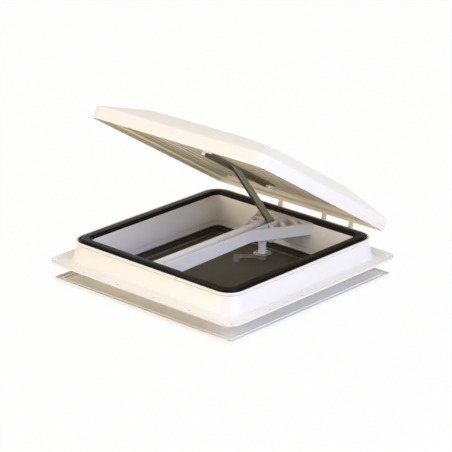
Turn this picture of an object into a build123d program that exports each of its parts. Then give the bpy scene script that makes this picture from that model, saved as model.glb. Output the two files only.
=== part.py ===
"""Crank-operated skylight for a camper roof, shown with its lid open.

Z is up and z = 0 is the room-side face of the inner trim. X runs along the
lid's hinge, +Y points to the hinge side, and the origin is the middle of the
opening. Lid, arm and shoe are drawn closed and then turned to the open pose.
All sizes are in millimetres.
"""
from build123d import *
import math
import os

os.makedirs("parts", exist_ok=True)

# Pose
LID_OPEN = 31.5
ARM_RATIO = 1.45

# Plan sizes as half widths, from the light opening outwards
SPIGOT_HALF = 182
MOUTH_HALF = SPIGOT_HALF + 5.5
UPSTAND_HEAD = SPIGOT_HALF + 32
UPSTAND_FOOT = UPSTAND_HEAD + 8
LIP_HALF = UPSTAND_HEAD + 3.5
LID_HALF = LIP_HALF + 9
HINGE_Y = LID_HALF + 13.5
FLANGE_HALF = HINGE_Y + 10

# Roof frame
FLANGE_CORNER = 26
FLANGE_Z = 39
FLANGE_TOP = FLANGE_Z + 3
WALL = 3
UPSTAND_CORNER = 35
LIP_WIDTH = 4
LIP_LOW = 81
LIP_TOP = 85
LEDGE_Z = 82
SPIGOT_Z = 29.5
MOUTH_CORNER = 13

# Flange holes, measured along a side from its middle
HOLE_CORNER = FLANGE_HALF - 14
HOLE_LINE = FLANGE_HALF - 9
FRONT_HOLES = (-149, -56, 40, 133)
REAR_HOLES = (-165, -95, 95, 165)
HOLE_R = 2
SINK_R = 3.9

# Seal
SEAL_TOP = 88.5
SEAL_BASE_TOP = 84.8
SEAL_GROOVE = 1.2
BULB_OUT = LIP_HALF - 10.5
BULB_IN = BULB_OUT - 15

# Hinge
HINGE_Z = 62
HINGE_XS = (-130, -59, 59, 130)
LEAF_HALF = 9
LEAF_LOW = 84
KNUCKLE_R = 4.5
KNUCKLE_HALF = 3.5
HINGE_PIN_R = 2
RIVET_R = 1.5
RIVET_HEAD_R = 2.6
RIVET_STEP = 9.8
FIT = 0.05
CLEAR = 0.3
FORK_GAP = KNUCKLE_HALF + CLEAR
FORK_HALF = FORK_GAP + 3

# Lid shell
LID_CORNER = 24
LID_Z = 83
SHOULDER_Z = 108.6
CROWN_HALF = LID_HALF - 55
CROWN_CORNER = 70
CROWN_Z = 136

# Lid liner
SEAT_Z = SEAL_TOP + CLEAR
CEILING_Z = 96
CEILING_HALF = LID_HALF - 42.5
LINER_T = 2.5
LINER_GAP = 0.2
BEAD_Z = 93.5

# Rail under the lid
TRACK_ROOF = 107
TRACK_FRONT = -114
TRACK_REAR = 107
TRACK_INNER = 10.1
TRACK_WALL = 1.5
TRACK_LIP = 93.2
TRACK_SKIRT = 86.3
TRACK_SLOT = 4.9
SHOE_Z = 99.3

# Arm and its drive
PIVOT_Y = SPIGOT_HALF - 41
PIVOT_Z = 60
ARM_REACH = 212.9
ARM_OFFSET = 14.3
ARM_HALF_WIDTH = 4
ARM_SHEET = 1.3
ARM_HALF_DEPTH = 6.5
ARM_TIP_R = 5.9
PIVOT_PIN_R = 3
TIP_PIN_R = 2.2
WORM_PITCH_R = 5.5
GEAR_PITCH_R = 16.5
WORM_Y = PIVOT_Y - GEAR_PITCH_R - WORM_PITCH_R
GEAR_TEETH = 20
PITCH = 2 * math.pi * GEAR_PITCH_R / GEAR_TEETH
ADDENDUM = 1.4
DEDENDUM = 1.7
TOOTH = 1.94
FLANK = math.tan(math.radians(20))
GEAR_HALF_WIDTH = 2.5

# Operator beam
BEAM_TOP = 84.5
BEAM_FRONT_Z = 54
BEAM_Z = 60
BEAM_HALF = 14
BEAM_FLOOR = 69
BEAM_UNDER = BEAM_FLOOR - 2.2
BEAM_END = SPIGOT_HALF - 2
CHANNEL_HALF = 10.5
CHANNEL_REAR = PIVOT_Y + 22
SLOT_HALF = 6
KINK_Y = 70
BEAM_RIGHT = 77
BEAM_LEFT = 62
POCKET_FLOOR = 74

# Winder
HUB_R = 8
HUB_Z = 20.4
SHAFT_R = 4
CRANK_Z = 9.7
CRANK_TOP = 14.5
CRANK_X = -38.7
CRANK_Y = WORM_Y - 36
KNOB_R = 6.5

# Inner trim and fly screen
TRIM_HALF = FLANGE_HALF - 11.5
TRIM_T = 2.5
TRIM_OPENING = SPIGOT_HALF - 2
LIP_Z = 5
SLEEVE_IN = SPIGOT_HALF + 4
SLEEVE_CORNER = 15
MESH_Z = 17
MESH_T = 0.4
MESH_HALF = SLEEVE_IN - 9


def square(half, corner, low, high):
    """Upright block with a rounded square plan."""
    return extrude(Pos(0, 0, low) * RectangleRounded(2 * half, 2 * half, corner), high - low)


def ring(outer, outer_corner, inner, inner_corner, low, high):
    """Rounded square ring."""
    return square(outer, outer_corner, low, high) - square(inner, inner_corner, low, high)


def taper(half_a, corner_a, low, half_b, corner_b, high):
    """Block whose rounded square plan changes from its foot to its head."""
    foot = Pos(0, 0, low) * RectangleRounded(2 * half_a, 2 * half_a, corner_a)
    head = Pos(0, 0, high) * RectangleRounded(2 * half_b, 2 * half_b, corner_b)
    return loft([foot, head], ruled=True)


def box(x0, x1, y0, y1, z0, z1):
    """Box between two corners."""
    size = Box(x1 - x0, y1 - y0, z1 - z0)
    return Pos((x0 + x1) / 2, (y0 + y1) / 2, (z0 + z1) / 2) * size


def post(x, y, low, high, radius):
    """Upright cylinder."""
    return Pos(x, y, (low + high) / 2) * Cylinder(radius, high - low)


def axle(y, z, x0, x1, radius):
    """Cylinder along X."""
    return Pos((x0 + x1) / 2, y, z) * Rot(0, 90, 0) * Cylinder(radius, x1 - x0)


def bolt(x, z, y0, y1, radius):
    """Cylinder along Y."""
    return Pos(x, (y0 + y1) / 2, z) * Rot(90, 0, 0) * Cylinder(radius, y1 - y0)


def side(sketch, x0, x1):
    """Extrude a sketch drawn in Y and Z along X."""
    return extrude(Plane.YZ.offset(x0) * sketch, x1 - x0, dir=(1, 0, 0))


def shape(*points):
    """Polygon with its points where they are given, turned counter-clockwise."""
    following = points[1:] + points[:1]
    area = sum(a[0] * b[1] - b[0] * a[1] for a, b in zip(points, following))
    return Polygon(*(points if area > 0 else points[::-1]), align=None)


def hull(*circles):
    """Outline stretched round circles given as (y, z, radius)."""
    edges = [(Pos(y, z) * Circle(r)).edge() for y, z, r in circles]
    return make_hull(edges)


def open_lid(part):
    """Turn a piece of the closed lid to the open pose."""
    return part.rotate(Axis((0, HINGE_Y, HINGE_Z), (1, 0, 0)), -LID_OPEN)


def raise_arm(part):
    """Turn a piece of the lowered arm to the open pose."""
    return part.rotate(Axis((0, PIVOT_Y, PIVOT_Z), (1, 0, 0)), -LID_OPEN * ARM_RATIO)


def save(name, part):
    """Write one node, from a part or a list of like pieces."""
    if isinstance(part, list):
        part = Compound(children=[solid for piece in part for solid in piece.solids()])
    export_step(part, f"parts/{name}.step")


def wall_half(z):
    """Half width of the opening between the inner walls at a height."""
    return SPIGOT_HALF + (z - SPIGOT_Z) * (MOUTH_HALF - SPIGOT_HALF) / (LIP_TOP - SPIGOT_Z)


def opening(offset=0, low=10, high=100):
    """Tapered space between the inner walls of the roof frame."""
    corner = MOUTH_CORNER + offset
    return taper(wall_half(low) + offset, corner, low, wall_half(high) + offset, corner, high)


def hole_places():
    """Plan positions of the screw holes in the flange."""
    ends = (-HOLE_CORNER, HOLE_CORNER)
    corners = [(x, y) for x in ends for y in ends]
    front = [(x, -HOLE_LINE) for x in FRONT_HOLES]
    rear = [(x, HOLE_LINE) for x in REAR_HOLES]
    sides = [(x, -y) for x in (-HOLE_LINE, HOLE_LINE) for y in FRONT_HOLES]
    return corners + front + rear + sides


def rivet_places():
    """Plan positions of the rivets of the hinge brackets."""
    return [(x + step, HINGE_Y + 5) for x in HINGE_XS for step in (-RIVET_STEP, RIVET_STEP)]


def beam_screw_places():
    """Screws of the beam as (x, z, direction along Y)."""
    front = [(x, 77, -1) for x in (-6, 6)]
    rear = [(x, 79, 1) for x in (-38, 43, 62)]
    return front + rear


def beam_screw_holes():
    """Holes of those screws through the beam's ends and the frame's inner wall."""
    holes = []
    for x, z, way in beam_screw_places():
        low, high = sorted((way * (BEAM_END - 4), way * (BEAM_END + 14)))
        holes.append(bolt(x, z, low, high, 1.6))
    return holes


def rivet_tail(x, y, radius):
    """Cone flush with the flange's underside, for a rivet's tail or its seat."""
    deep = RIVET_HEAD_R - RIVET_R
    return Pos(x, y, FLANGE_Z + deep / 2) * Cone(radius + deep, radius, deep)


def outer_frame():
    """Flange, double-walled upstand with its lip, and spigot."""
    body = square(FLANGE_HALF, FLANGE_CORNER, FLANGE_Z, FLANGE_TOP)
    body += ring(FLANGE_HALF, FLANGE_CORNER, FLANGE_HALF - 2, FLANGE_CORNER - 2,
                 FLANGE_TOP, FLANGE_TOP + 0.8)
    body += taper(UPSTAND_FOOT + 6, UPSTAND_CORNER + 5, FLANGE_TOP,
                  UPSTAND_FOOT + 1, UPSTAND_CORNER + 1, FLANGE_TOP + 4)
    body += taper(UPSTAND_FOOT + 1, UPSTAND_CORNER + 1, FLANGE_TOP,
                  UPSTAND_HEAD, UPSTAND_CORNER, LIP_LOW)
    body += square(LIP_HALF, UPSTAND_CORNER + 2, LIP_LOW, LIP_TOP)
    body -= taper(UPSTAND_FOOT - WALL, UPSTAND_CORNER - WALL, FLANGE_Z,
                  UPSTAND_HEAD - WALL, UPSTAND_CORNER - WALL, LEDGE_Z - WALL)
    sleeve = opening(WALL) & box(-300, 300, -300, 300, SPIGOT_Z, LEDGE_Z)
    body += sleeve
    recess = LIP_HALF - LIP_WIDTH
    body -= square(recess, UPSTAND_CORNER - 2, LEDGE_Z, LIP_TOP + 1)
    body -= opening()
    for x, y in hole_places():
        body -= post(x, y, FLANGE_Z - 1, FLANGE_TOP + 1, HOLE_R)
        body -= Pos(x, y, FLANGE_TOP) * Cone(HOLE_R, 2 * SINK_R - HOLE_R, 2 * (SINK_R - HOLE_R))
    for x, y in rivet_places():
        body -= post(x, y, FLANGE_Z - 1, FLANGE_TOP + 1, RIVET_R + FIT)
        body -= rivet_tail(x, y, RIVET_R + FIT)
    for hole in beam_screw_holes():
        body -= hole
    return body


def rim_seal():
    """Rubber strip on the ledge with a rounded bulb along it."""
    outer = LIP_HALF - LIP_WIDTH - SEAL_GROOVE
    inner = wall_half(LEDGE_Z) + 0.6
    base = ring(outer, UPSTAND_CORNER - 3, inner, MOUTH_CORNER, LEDGE_Z, SEAL_BASE_TOP)
    bulb = ring(BULB_OUT, 27, BULB_IN, 16, SEAL_BASE_TOP, SEAL_TOP)
    top_edges = bulb.edges().group_by(Axis.Z)[-1]
    return base + fillet(top_edges, 2.8)


def hinge_brackets():
    """Four forked brackets on the flange."""
    brackets = []
    base_half = RIVET_STEP + 3
    web = shape((HINGE_Y - 7, FLANGE_TOP), (HINGE_Y + 7, FLANGE_TOP),
                (HINGE_Y + KNUCKLE_R, HINGE_Z), (HINGE_Y - KNUCKLE_R, HINGE_Z))
    web += Pos(HINGE_Y, HINGE_Z) * Circle(KNUCKLE_R)
    for x in HINGE_XS:
        bracket = box(x - base_half, x + base_half, HINGE_Y - 9, HINGE_Y + 7.5,
                      FLANGE_TOP, FLANGE_TOP + 2.5)
        bracket += side(web, x - FORK_HALF, x - FORK_GAP)
        bracket += side(web, x + FORK_GAP, x + FORK_HALF)
        bracket -= axle(HINGE_Y, HINGE_Z, x - 20, x + 20, HINGE_PIN_R + FIT)
        brackets.append(bracket)
    for place, (x, y) in enumerate(rivet_places()):
        brackets[place // 2] -= post(x, y, FLANGE_Z, FLANGE_TOP + 5, RIVET_R + FIT)
    return brackets


def bracket_rivets():
    """Rivets that hold the brackets to the flange."""
    head_z = FLANGE_TOP + 2.5
    rivets = []
    for x, y in rivet_places():
        rivet = post(x, y, FLANGE_Z, head_z, RIVET_R)
        rivet += post(x, y, head_z, head_z + 1.2, RIVET_HEAD_R)
        rivets.append(rivet + rivet_tail(x, y, RIVET_R))
    return rivets


def hinge_pins():
    """Pins with a head at each end."""
    pins = []
    for x in HINGE_XS:
        left, right = x - FORK_HALF, x + FORK_HALF
        pin = axle(HINGE_Y, HINGE_Z, left - 1, right + 1, HINGE_PIN_R)
        for low, high in ((left - 1, left), (right, right + 1)):
            pin += axle(HINGE_Y, HINGE_Z, low, high, HINGE_PIN_R + 1.2)
        pins.append(pin)
    return pins


def leaf_screw_places():
    """Screws of the leaves as (x, z) on the closed lid."""
    return [(hinge + step, 98) for hinge in HINGE_XS for step in (-5, 5)]


def hinge_leaves():
    """Four leaves on the lid's rear wall, each with a narrow tongue down to its pin."""
    leaves = []
    back = LID_HALF + WALL
    tongue = shape((LID_HALF, LEAF_LOW), (back, LEAF_LOW + 9),
                   (HINGE_Y + 4.1, HINGE_Z + 1.8), (HINGE_Y - 3.8, HINGE_Z - 2.4))
    tongue += Pos(HINGE_Y, HINGE_Z) * Circle(KNUCKLE_R)
    for x in HINGE_XS:
        leaf = box(x - LEAF_HALF, x + LEAF_HALF, LID_HALF, back, LEAF_LOW, LEAF_LOW + 20)
        leaf += side(tongue, x - KNUCKLE_HALF, x + KNUCKLE_HALF)
        leaf -= axle(HINGE_Y, HINGE_Z, x - 20, x + 20, HINGE_PIN_R + FIT)
        leaves.append(leaf)
    for place, (x, z) in enumerate(leaf_screw_places()):
        leaves[place // 2] -= bolt(x, z, LID_HALF - 1, back + 1, 1.6)
    return [open_lid(leaf) for leaf in leaves]


def leaf_screws():
    """Round-headed screws through the leaves into the lid."""
    screws = []
    back = LID_HALF + WALL
    for x, z in leaf_screw_places():
        screw = bolt(x, z, LID_HALF - WALL + CLEAR, back, 1.5)
        screw += bolt(x, z, back, back + 1.8, 3)
        screws.append(open_lid(screw))
    return screws


def liner_screw_places():
    """Plan positions of the liner's screws, two near each corner."""
    near, far = CEILING_HALF - 26, CEILING_HALF - 24
    return [(sx * near + step, sy * far) for sx in (-1, 1) for sy in (-1, 1) for step in (-6, 6)]


def lid_solid(inset):
    """Filled shape of the lid, or of its inside when inset."""
    wall = square(LID_HALF - inset, LID_CORNER - inset, LID_Z, SHOULDER_Z - inset / 3)
    crown = taper(LID_HALF - inset, LID_CORNER - inset, SHOULDER_Z - inset / 3,
                  CROWN_HALF - inset / 4, CROWN_CORNER - inset, CROWN_Z - inset)
    return wall + crown


def lid_dome():
    """Outer shell of the lid with bosses for the liner's screws."""
    outside = lid_solid(0)
    shell = outside - lid_solid(WALL)
    for x, y in liner_screw_places():
        boss = post(x, y, CEILING_Z + LINER_T, CROWN_Z, 5) & outside
        shell += boss
    for x, y in liner_screw_places():
        shell -= post(x, y, CEILING_Z, CEILING_Z + 14, 1.75)
    for x, z in leaf_screw_places():
        shell -= bolt(x, z, LID_HALF - WALL - 1, LID_HALF + 1, 1.6)
    return open_lid(shell)


def lid_liner():
    """Inner pan with its sealing face, raised ceiling, beads and rail housing."""
    edge = LID_HALF - WALL - LINER_GAP
    corner = LID_CORNER - WALL
    pan = ring(edge, corner, edge - LINER_T, corner - 2, LID_Z + 1, SEAT_Z)
    pan += square(edge, corner, SEAT_Z, SEAT_Z + LINER_T)
    pan += square(CEILING_HALF + LINER_T, 22, SEAT_Z, CEILING_Z + LINER_T)
    pan -= square(CEILING_HALF, 20, SEAT_Z - 1, CEILING_Z)
    for x in (-150, -118, -86, -54, 54, 86, 118, 150):
        pan += box(x - 4, x + 4, -150, 150, BEAD_Z, CEILING_Z)
    pan += ring(CEILING_HALF - 8, 16, CEILING_HALF - 14, 12, BEAD_Z, CEILING_Z)
    roof = TRACK_ROOF + TRACK_WALL
    pan += box(-15.5, 15.5, TRACK_FRONT - 6, TRACK_REAR + 6, CEILING_Z, roof + LINER_T)
    pan -= box(-13, 13, TRACK_FRONT - 3.5, TRACK_REAR + 3.5, CEILING_Z - 5, roof)
    for x, y in liner_screw_places():
        pan -= post(x, y, SEAT_Z, CEILING_Z + 5, 1.75)
    for y in track_screw_places():
        pan -= post(0, y, CEILING_Z, roof + 5, 1.6)
    return open_lid(pan)


def liner_screws():
    """Round-headed screws that hold the liner to the shell's bosses."""
    screws = []
    for x, y in liner_screw_places():
        screw = post(x, y, CEILING_Z, CEILING_Z + 12, 1.7)
        screw += post(x, y, CEILING_Z - 1.8, CEILING_Z, 3)
        screws.append(open_lid(screw))
    return screws


def track_screw_places():
    """Places of the rail's screws along Y, clear of the shoe's travel."""
    return (-98, 34, 90)


def lid_track():
    """Rail with two lips and one long skirt."""
    outer = TRACK_INNER + TRACK_WALL
    roof = TRACK_ROOF + TRACK_WALL
    rail = box(-outer, outer, TRACK_FRONT, TRACK_REAR, TRACK_ROOF, roof)
    rail += box(-outer, -TRACK_INNER, TRACK_FRONT, TRACK_REAR, TRACK_SKIRT, roof)
    rail += box(TRACK_INNER, outer, TRACK_FRONT, TRACK_REAR, TRACK_LIP, roof)
    for way in (-1, 1):
        low, high = sorted((way * TRACK_SLOT, way * outer))
        rail += box(low, high, TRACK_FRONT, TRACK_REAR, TRACK_LIP, TRACK_LIP + 1.4)
    for y in track_screw_places():
        rail -= post(0, y, TRACK_ROOF - 1, roof + 1, 1.6)
    return open_lid(rail)


def track_caps():
    """End caps of the rail, the rear one with two notches."""
    outer = TRACK_INNER + TRACK_WALL
    roof = TRACK_ROOF + TRACK_WALL
    front = box(-outer, outer, TRACK_FRONT - 3, TRACK_FRONT, TRACK_SKIRT, roof)
    front += box(-9, 9, TRACK_FRONT, TRACK_FRONT + 5, TRACK_LIP + 1.6, TRACK_ROOF)
    rear = box(-outer, outer, TRACK_REAR, TRACK_REAR + 3, TRACK_SKIRT, roof)
    rear += box(-9, 9, TRACK_REAR - 8, TRACK_REAR, TRACK_LIP + 1.6, TRACK_ROOF)
    rear += box(-TRACK_INNER, TRACK_INNER, TRACK_REAR - 3, TRACK_REAR, TRACK_SKIRT, TRACK_LIP)
    for x in (-6, 3):
        rear -= box(x, x + 3, TRACK_REAR - 4, TRACK_REAR + 4, TRACK_SKIRT - 1, TRACK_SKIRT + 4)
    return [open_lid(front), open_lid(rear)]


def track_screws():
    """Screws inside the rail's roof."""
    screws = []
    for y in track_screw_places():
        screw = post(0, y, TRACK_ROOF, TRACK_ROOF + 7, 1.5)
        screw += post(0, y, TRACK_ROOF - 1.6, TRACK_ROOF, 3)
        screws.append(open_lid(screw))
    return screws


def flare(inset):
    """Plan of the beam, widened at the rear, with its sides moved in."""
    end = BEAM_END + 10
    right = shape((0, -end), (BEAM_HALF - inset, -end), (BEAM_HALF + 1 - inset, KINK_Y),
                  (BEAM_RIGHT - inset * 1.15, end), (0, end))
    left = shape((0, -end), (-BEAM_HALF + inset, -end), (-BEAM_HALF - 1 + inset, KINK_Y),
                 (-BEAM_LEFT + inset * 1.1, end), (0, end))
    return right + left


def pocket_ribs():
    """Cross ribs square to each flared side, to be kept out of the pockets."""
    ribs = []
    for far_x, angle, steps in ((BEAM_RIGHT, -28, 4), (-BEAM_LEFT, 22, 4)):
        for step in range(steps):
            along = 0.36 + 0.2 * step
            x = math.copysign(BEAM_HALF, far_x) + along * (far_x - math.copysign(BEAM_HALF, far_x))
            y = KINK_Y + along * (BEAM_END + 10 - KINK_Y)
            ribs.append(Pos(x, y, 70) * Rot(0, 0, angle) * Box(140, 4, 60))
    return ribs


def operator_beam():
    """Open-topped bar across the opening, flared and ribbed at the hinge side."""
    end = BEAM_END + 10
    profile = shape((-end, BEAM_FRONT_Z), (KINK_Y, BEAM_Z), (end, BEAM_Z), (end, BEAM_TOP),
                    (-end, BEAM_TOP))
    body = extrude(flare(0), 120) & side(profile, -100, 100)
    body &= opening()
    block = box(-16, 16, WORM_Y - 19, CHANNEL_REAR + 7, BEAM_Z, BEAM_TOP)
    under = extrude(flare(3), BEAM_UNDER)
    under &= box(-100, 100, -BEAM_END, BEAM_END + 1, 0, BEAM_UNDER)
    body -= under - block
    body -= box(-CHANNEL_HALF, CHANNEL_HALF, -BEAM_END, CHANNEL_REAR, BEAM_FLOOR, BEAM_TOP + 1)
    body -= box(-SLOT_HALF, SLOT_HALF, WORM_Y + 5.8, CHANNEL_REAR, 0, BEAM_TOP + 1)
    body -= axle(PIVOT_Y, PIVOT_Z, -SLOT_HALF, SLOT_HALF, GEAR_PITCH_R + ADDENDUM + 0.5)
    pockets = extrude(flare(3.5), BEAM_TOP + 1)
    pockets &= box(-100, 100, KINK_Y + 8, BEAM_END, 0, BEAM_TOP + 1)
    pockets -= box(-CHANNEL_HALF - 3, CHANNEL_HALF + 3, 0, CHANNEL_REAR + 4, 0, 100)
    for rib in pocket_ribs():
        pockets -= rib
    body -= pockets & box(0, 100, 0, 200, POCKET_FLOOR, 100)
    body -= pockets & box(-100, -16.5, 0, 200, 0, 100)
    body -= post(0, WORM_Y, BEAM_Z - 1, BEAM_UNDER, WORM_PITCH_R + ADDENDUM + 0.7)
    body -= post(0, WORM_Y, BEAM_Z, BEAM_FLOOR + 1, 4.1)
    body -= axle(PIVOT_Y, PIVOT_Z, -13, 13, PIVOT_PIN_R + FIT)
    body += box(-CHANNEL_HALF, CHANNEL_HALF, -4, 0, BEAM_FLOOR, BEAM_FLOOR + 8)
    for hole in beam_screw_holes():
        body -= hole
    for x, y in housing_screw_places():
        body -= post(x, y, BEAM_Z - 1, BEAM_Z + 7, 1.5)
    return body


def beam_screws():
    """Screws through the beam's ends into the frame's inner wall."""
    screws = []
    for x, z, way in beam_screw_places():
        low, high = sorted((way * BEAM_END, way * (BEAM_END + 11)))
        head_low, head_high = sorted((way * BEAM_END, way * (BEAM_END - 1.8)))
        screws.append(bolt(x, z, low, high, 1.5) + bolt(x, z, head_low, head_high, 3))
    return screws


def housing_screw_places():
    """Plan positions of the gear housing's screws."""
    return [(x, y) for x in (-12.3, 12.3) for y in (WORM_Y - 14, PIVOT_Y + 23)]


def gear_housing():
    """Hub round the worm and curved case below the beam."""
    case = side(Pos(PIVOT_Y, PIVOT_Z) * Circle(21.5), -8.5, 8.5)
    case += post(0, WORM_Y, 44, BEAM_Z, 10)
    case += post(0, WORM_Y, HUB_Z, BEAM_Z, HUB_R)
    case &= box(-30, 30, 60, 180, 0, BEAM_Z)
    plate = extrude(Pos(0, WORM_Y + 15.5, BEAM_Z - 3) * RectangleRounded(32, 70, 3), 3)
    case += plate
    case -= axle(PIVOT_Y, PIVOT_Z, -SLOT_HALF, SLOT_HALF, 19)
    case -= post(0, WORM_Y, 50.5, BEAM_Z + 1, 7.6)
    case -= post(0, WORM_Y, 0, BEAM_Z, SHAFT_R + 0.3)
    case -= post(0, WORM_Y, 0, 34, 6)
    case -= axle(PIVOT_Y, PIVOT_Z, -13, 13, PIVOT_PIN_R + FIT)
    for x, y in housing_screw_places():
        case -= post(x, y, BEAM_Z - 4, BEAM_Z + 1, 1.5)
    return case


def housing_screws():
    """Screws from below into the beam."""
    screws = []
    for x, y in housing_screw_places():
        screw = post(x, y, BEAM_Z - 3, BEAM_Z + 6, 1.4)
        screws.append(screw + post(x, y, BEAM_Z - 4.8, BEAM_Z - 3, 2.8))
    return screws


def worm_bushings():
    """Plain bearings of the worm shaft, one in the beam and one in the hub."""
    top = post(0, WORM_Y, BEAM_UNDER, BEAM_FLOOR, 4.1)
    top -= post(0, WORM_Y, 0, 100, 3 + FIT)
    low = post(0, WORM_Y, HUB_Z, 34, 6)
    low -= post(0, WORM_Y, 0, 100, SHAFT_R + FIT)
    return [top, low]


def rosette():
    """Bright disc round the shaft, above the fly screen."""
    top = MESH_Z + MESH_T
    disc = post(0, WORM_Y, top, top + 1.5, 18.5)
    disc += post(0, WORM_Y, top, HUB_Z, 9.5)
    disc -= post(0, WORM_Y, 0, 100, SHAFT_R + 0.6)
    for step in range(8):
        window = Rot(0, 0, 45 * step) * Pos(13.5, 0, top) * Box(5, 4, 6)
        disc -= Pos(0, WORM_Y, 0) * window
    return disc


def worm_shaft():
    """Worm with its collar and journals, turned by the crank."""
    root = WORM_PITCH_R - DEDENDUM
    shaft = post(0, WORM_Y, 7.5, 52, SHAFT_R)
    shaft += post(0, WORM_Y, 50.8, 52, 5.6)
    shaft += post(0, WORM_Y, 51, 66.5, root)
    shaft += post(0, WORM_Y, 66, BEAM_FLOOR - 0.2, 3)
    start = PIVOT_Z - PITCH / 4 - PITCH
    turns = 2.2
    path = Helix(PITCH, PITCH * turns, WORM_PITCH_R)
    deep = root - 0.3 - WORM_PITCH_R
    half_root = TOOTH / 2 - deep * FLANK
    half_tip = TOOTH / 2 - ADDENDUM * FLANK
    section = Plane(origin=path @ 0, x_dir=(1, 0, 0), z_dir=path % 0) * shape(
        (deep, -half_root), (ADDENDUM, -half_tip), (ADDENDUM, half_tip), (deep, half_root))
    thread = sweep(section, path=path, is_frenet=True)
    shaft += Pos(0, WORM_Y, start) * thread
    shaft -= post(0, WORM_Y, 7, 18, 1.5)
    return shaft


def arm_start():
    """Angle of the lowered arm that brings its tip pin into the open lid's rail."""
    turn = math.radians(LID_OPEN)
    below = (PIVOT_Y - HINGE_Y) * math.sin(turn) + (PIVOT_Z - HINGE_Z) * math.cos(turn)
    over_lid = math.asin((SHOE_Z - HINGE_Z - below) / ARM_REACH)
    return over_lid + turn - turn * ARM_RATIO


def arm_tip():
    """Place of the tip pin on the lowered arm."""
    angle = arm_start()
    return PIVOT_Y - ARM_REACH * math.cos(angle), PIVOT_Z + ARM_REACH * math.sin(angle)


def arm_line():
    """Slope of the lowered arm's straight part, which passes above the pivot."""
    return arm_start() - math.asin(ARM_OFFSET / ARM_REACH)


def on_arm(back, up=0):
    """Point on the lowered arm, measured back from the tip pin and up from its middle."""
    y, z = arm_tip()
    slope = arm_line()
    return (y + back * math.cos(slope) + up * math.sin(slope),
            z - back * math.sin(slope) + up * math.cos(slope))


def lift_arm():
    """Pressed steel channel, cranked down to its pivot."""
    tip_y, tip_z = arm_tip()
    foot = on_arm(ARM_REACH - 14)
    heel = on_arm(ARM_REACH)
    outline = hull((tip_y, tip_z, ARM_TIP_R), (*heel, ARM_HALF_DEPTH))
    outline += hull((*foot, ARM_HALF_DEPTH - 0.5), (*heel, ARM_HALF_DEPTH - 0.3),
                    (PIVOT_Y, PIVOT_Z, 8.5))
    arm = side(outline, -ARM_HALF_WIDTH, ARM_HALF_WIDTH)
    web_end = ARM_REACH - 6
    over, inside = ARM_HALF_DEPTH + 2, ARM_HALF_DEPTH - ARM_SHEET
    web = shape(on_arm(14, over), on_arm(web_end, over), on_arm(web_end, inside),
                on_arm(14, inside))
    space = shape((-120, 0), (200, 0), (200, 140), (-120, 140)) - web
    arm -= side(space, ARM_SHEET - ARM_HALF_WIDTH, ARM_HALF_WIDTH - ARM_SHEET)
    arm -= axle(PIVOT_Y, PIVOT_Z, -10, 10, PIVOT_PIN_R + FIT)
    arm -= axle(tip_y, tip_z, -10, 10, TIP_PIN_R + 0.02)
    for y, z in gear_rivet_places():
        arm -= axle(y, z, -10, 10, 1.55)
    return raise_arm(arm)


def gear_rivet_places():
    """Rivets through the arm's sheets and the sector's tail."""
    return (on_arm(ARM_REACH - 15), on_arm(ARM_REACH - 3))


def sector_gear():
    """Toothed sector between the arm's sheets, meshing with the worm."""
    def at(radius, angle):
        turn = math.radians(angle)
        return PIVOT_Y - radius * math.cos(turn), PIVOT_Z + radius * math.sin(turn)

    step = 360 / GEAR_TEETH
    root = GEAR_PITCH_R - DEDENDUM
    tip = GEAR_PITCH_R + ADDENDUM
    root_turn = math.degrees((TOOTH / 2 + DEDENDUM * FLANK) / root)
    tip_turn = math.degrees((TOOTH / 2 - ADDENDUM * FLANK) / tip)
    first_gap = -LID_OPEN * ARM_RATIO - 2 * step
    points = [(PIVOT_Y, PIVOT_Z)]
    for tooth in range(6):
        middle = first_gap + step * (tooth + 0.5)
        points += [at(root, middle - root_turn), at(tip, middle - tip_turn)]
        points += [at(tip, middle + tip_turn), at(root, middle + root_turn)]
    sector = shape(*points) + Pos(PIVOT_Y, PIVOT_Z) * Circle(8)
    near, far = gear_rivet_places()
    sector += hull((*near, 4.2), (*far, 4.2), (PIVOT_Y, PIVOT_Z, 7))
    gear = side(sector, -GEAR_HALF_WIDTH, GEAR_HALF_WIDTH)
    sheet_gap = ARM_HALF_WIDTH - ARM_SHEET
    gear += axle(PIVOT_Y, PIVOT_Z, -sheet_gap, sheet_gap, 7)
    gear -= axle(PIVOT_Y, PIVOT_Z, -10, 10, PIVOT_PIN_R + FIT)
    for y, z in gear_rivet_places():
        gear -= axle(y, z, -10, 10, 1.55)
    return raise_arm(gear)


def gear_rivets():
    """Rivets of the sector."""
    rivets = []
    for y, z in gear_rivet_places():
        rivet = axle(y, z, -ARM_HALF_WIDTH - 0.9, ARM_HALF_WIDTH + 0.9, 1.5)
        for way in (-1, 1):
            low, high = sorted((way * ARM_HALF_WIDTH, way * (ARM_HALF_WIDTH + 0.9)))
            rivet += axle(y, z, low, high, 2.6)
        rivets.append(raise_arm(rivet))
    return rivets


def arm_pivot_pin():
    """Fixed pin on which the arm turns."""
    return axle(PIVOT_Y, PIVOT_Z, -13, 13, PIVOT_PIN_R)


def tip_pin():
    """Pin at the arm's tip that carries the shoe."""
    y, z = arm_tip()
    return raise_arm(axle(y, z, -9.2, 9.2, TIP_PIN_R))


def slider_shoe():
    """Forked shoe that runs in the rail, level with the lid."""
    y, z = arm_tip()
    shoe = box(-9.6, 9.6, y - 11, y + 9, z - 4, z + 4)
    shoe -= box(-4.3, 4.3, y - 7.4, y + 10, z - 5, z + 5)
    shoe -= axle(y, z, -20, 20, TIP_PIN_R + FIT)
    raised = raise_arm(axle(y, z, -1, 1, 1)).center()
    placed = Pos(0, raised.Y - y, raised.Z - z) * shoe
    return placed.rotate(Axis((0, raised.Y, raised.Z), (1, 0, 0)), -LID_OPEN)


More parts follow.
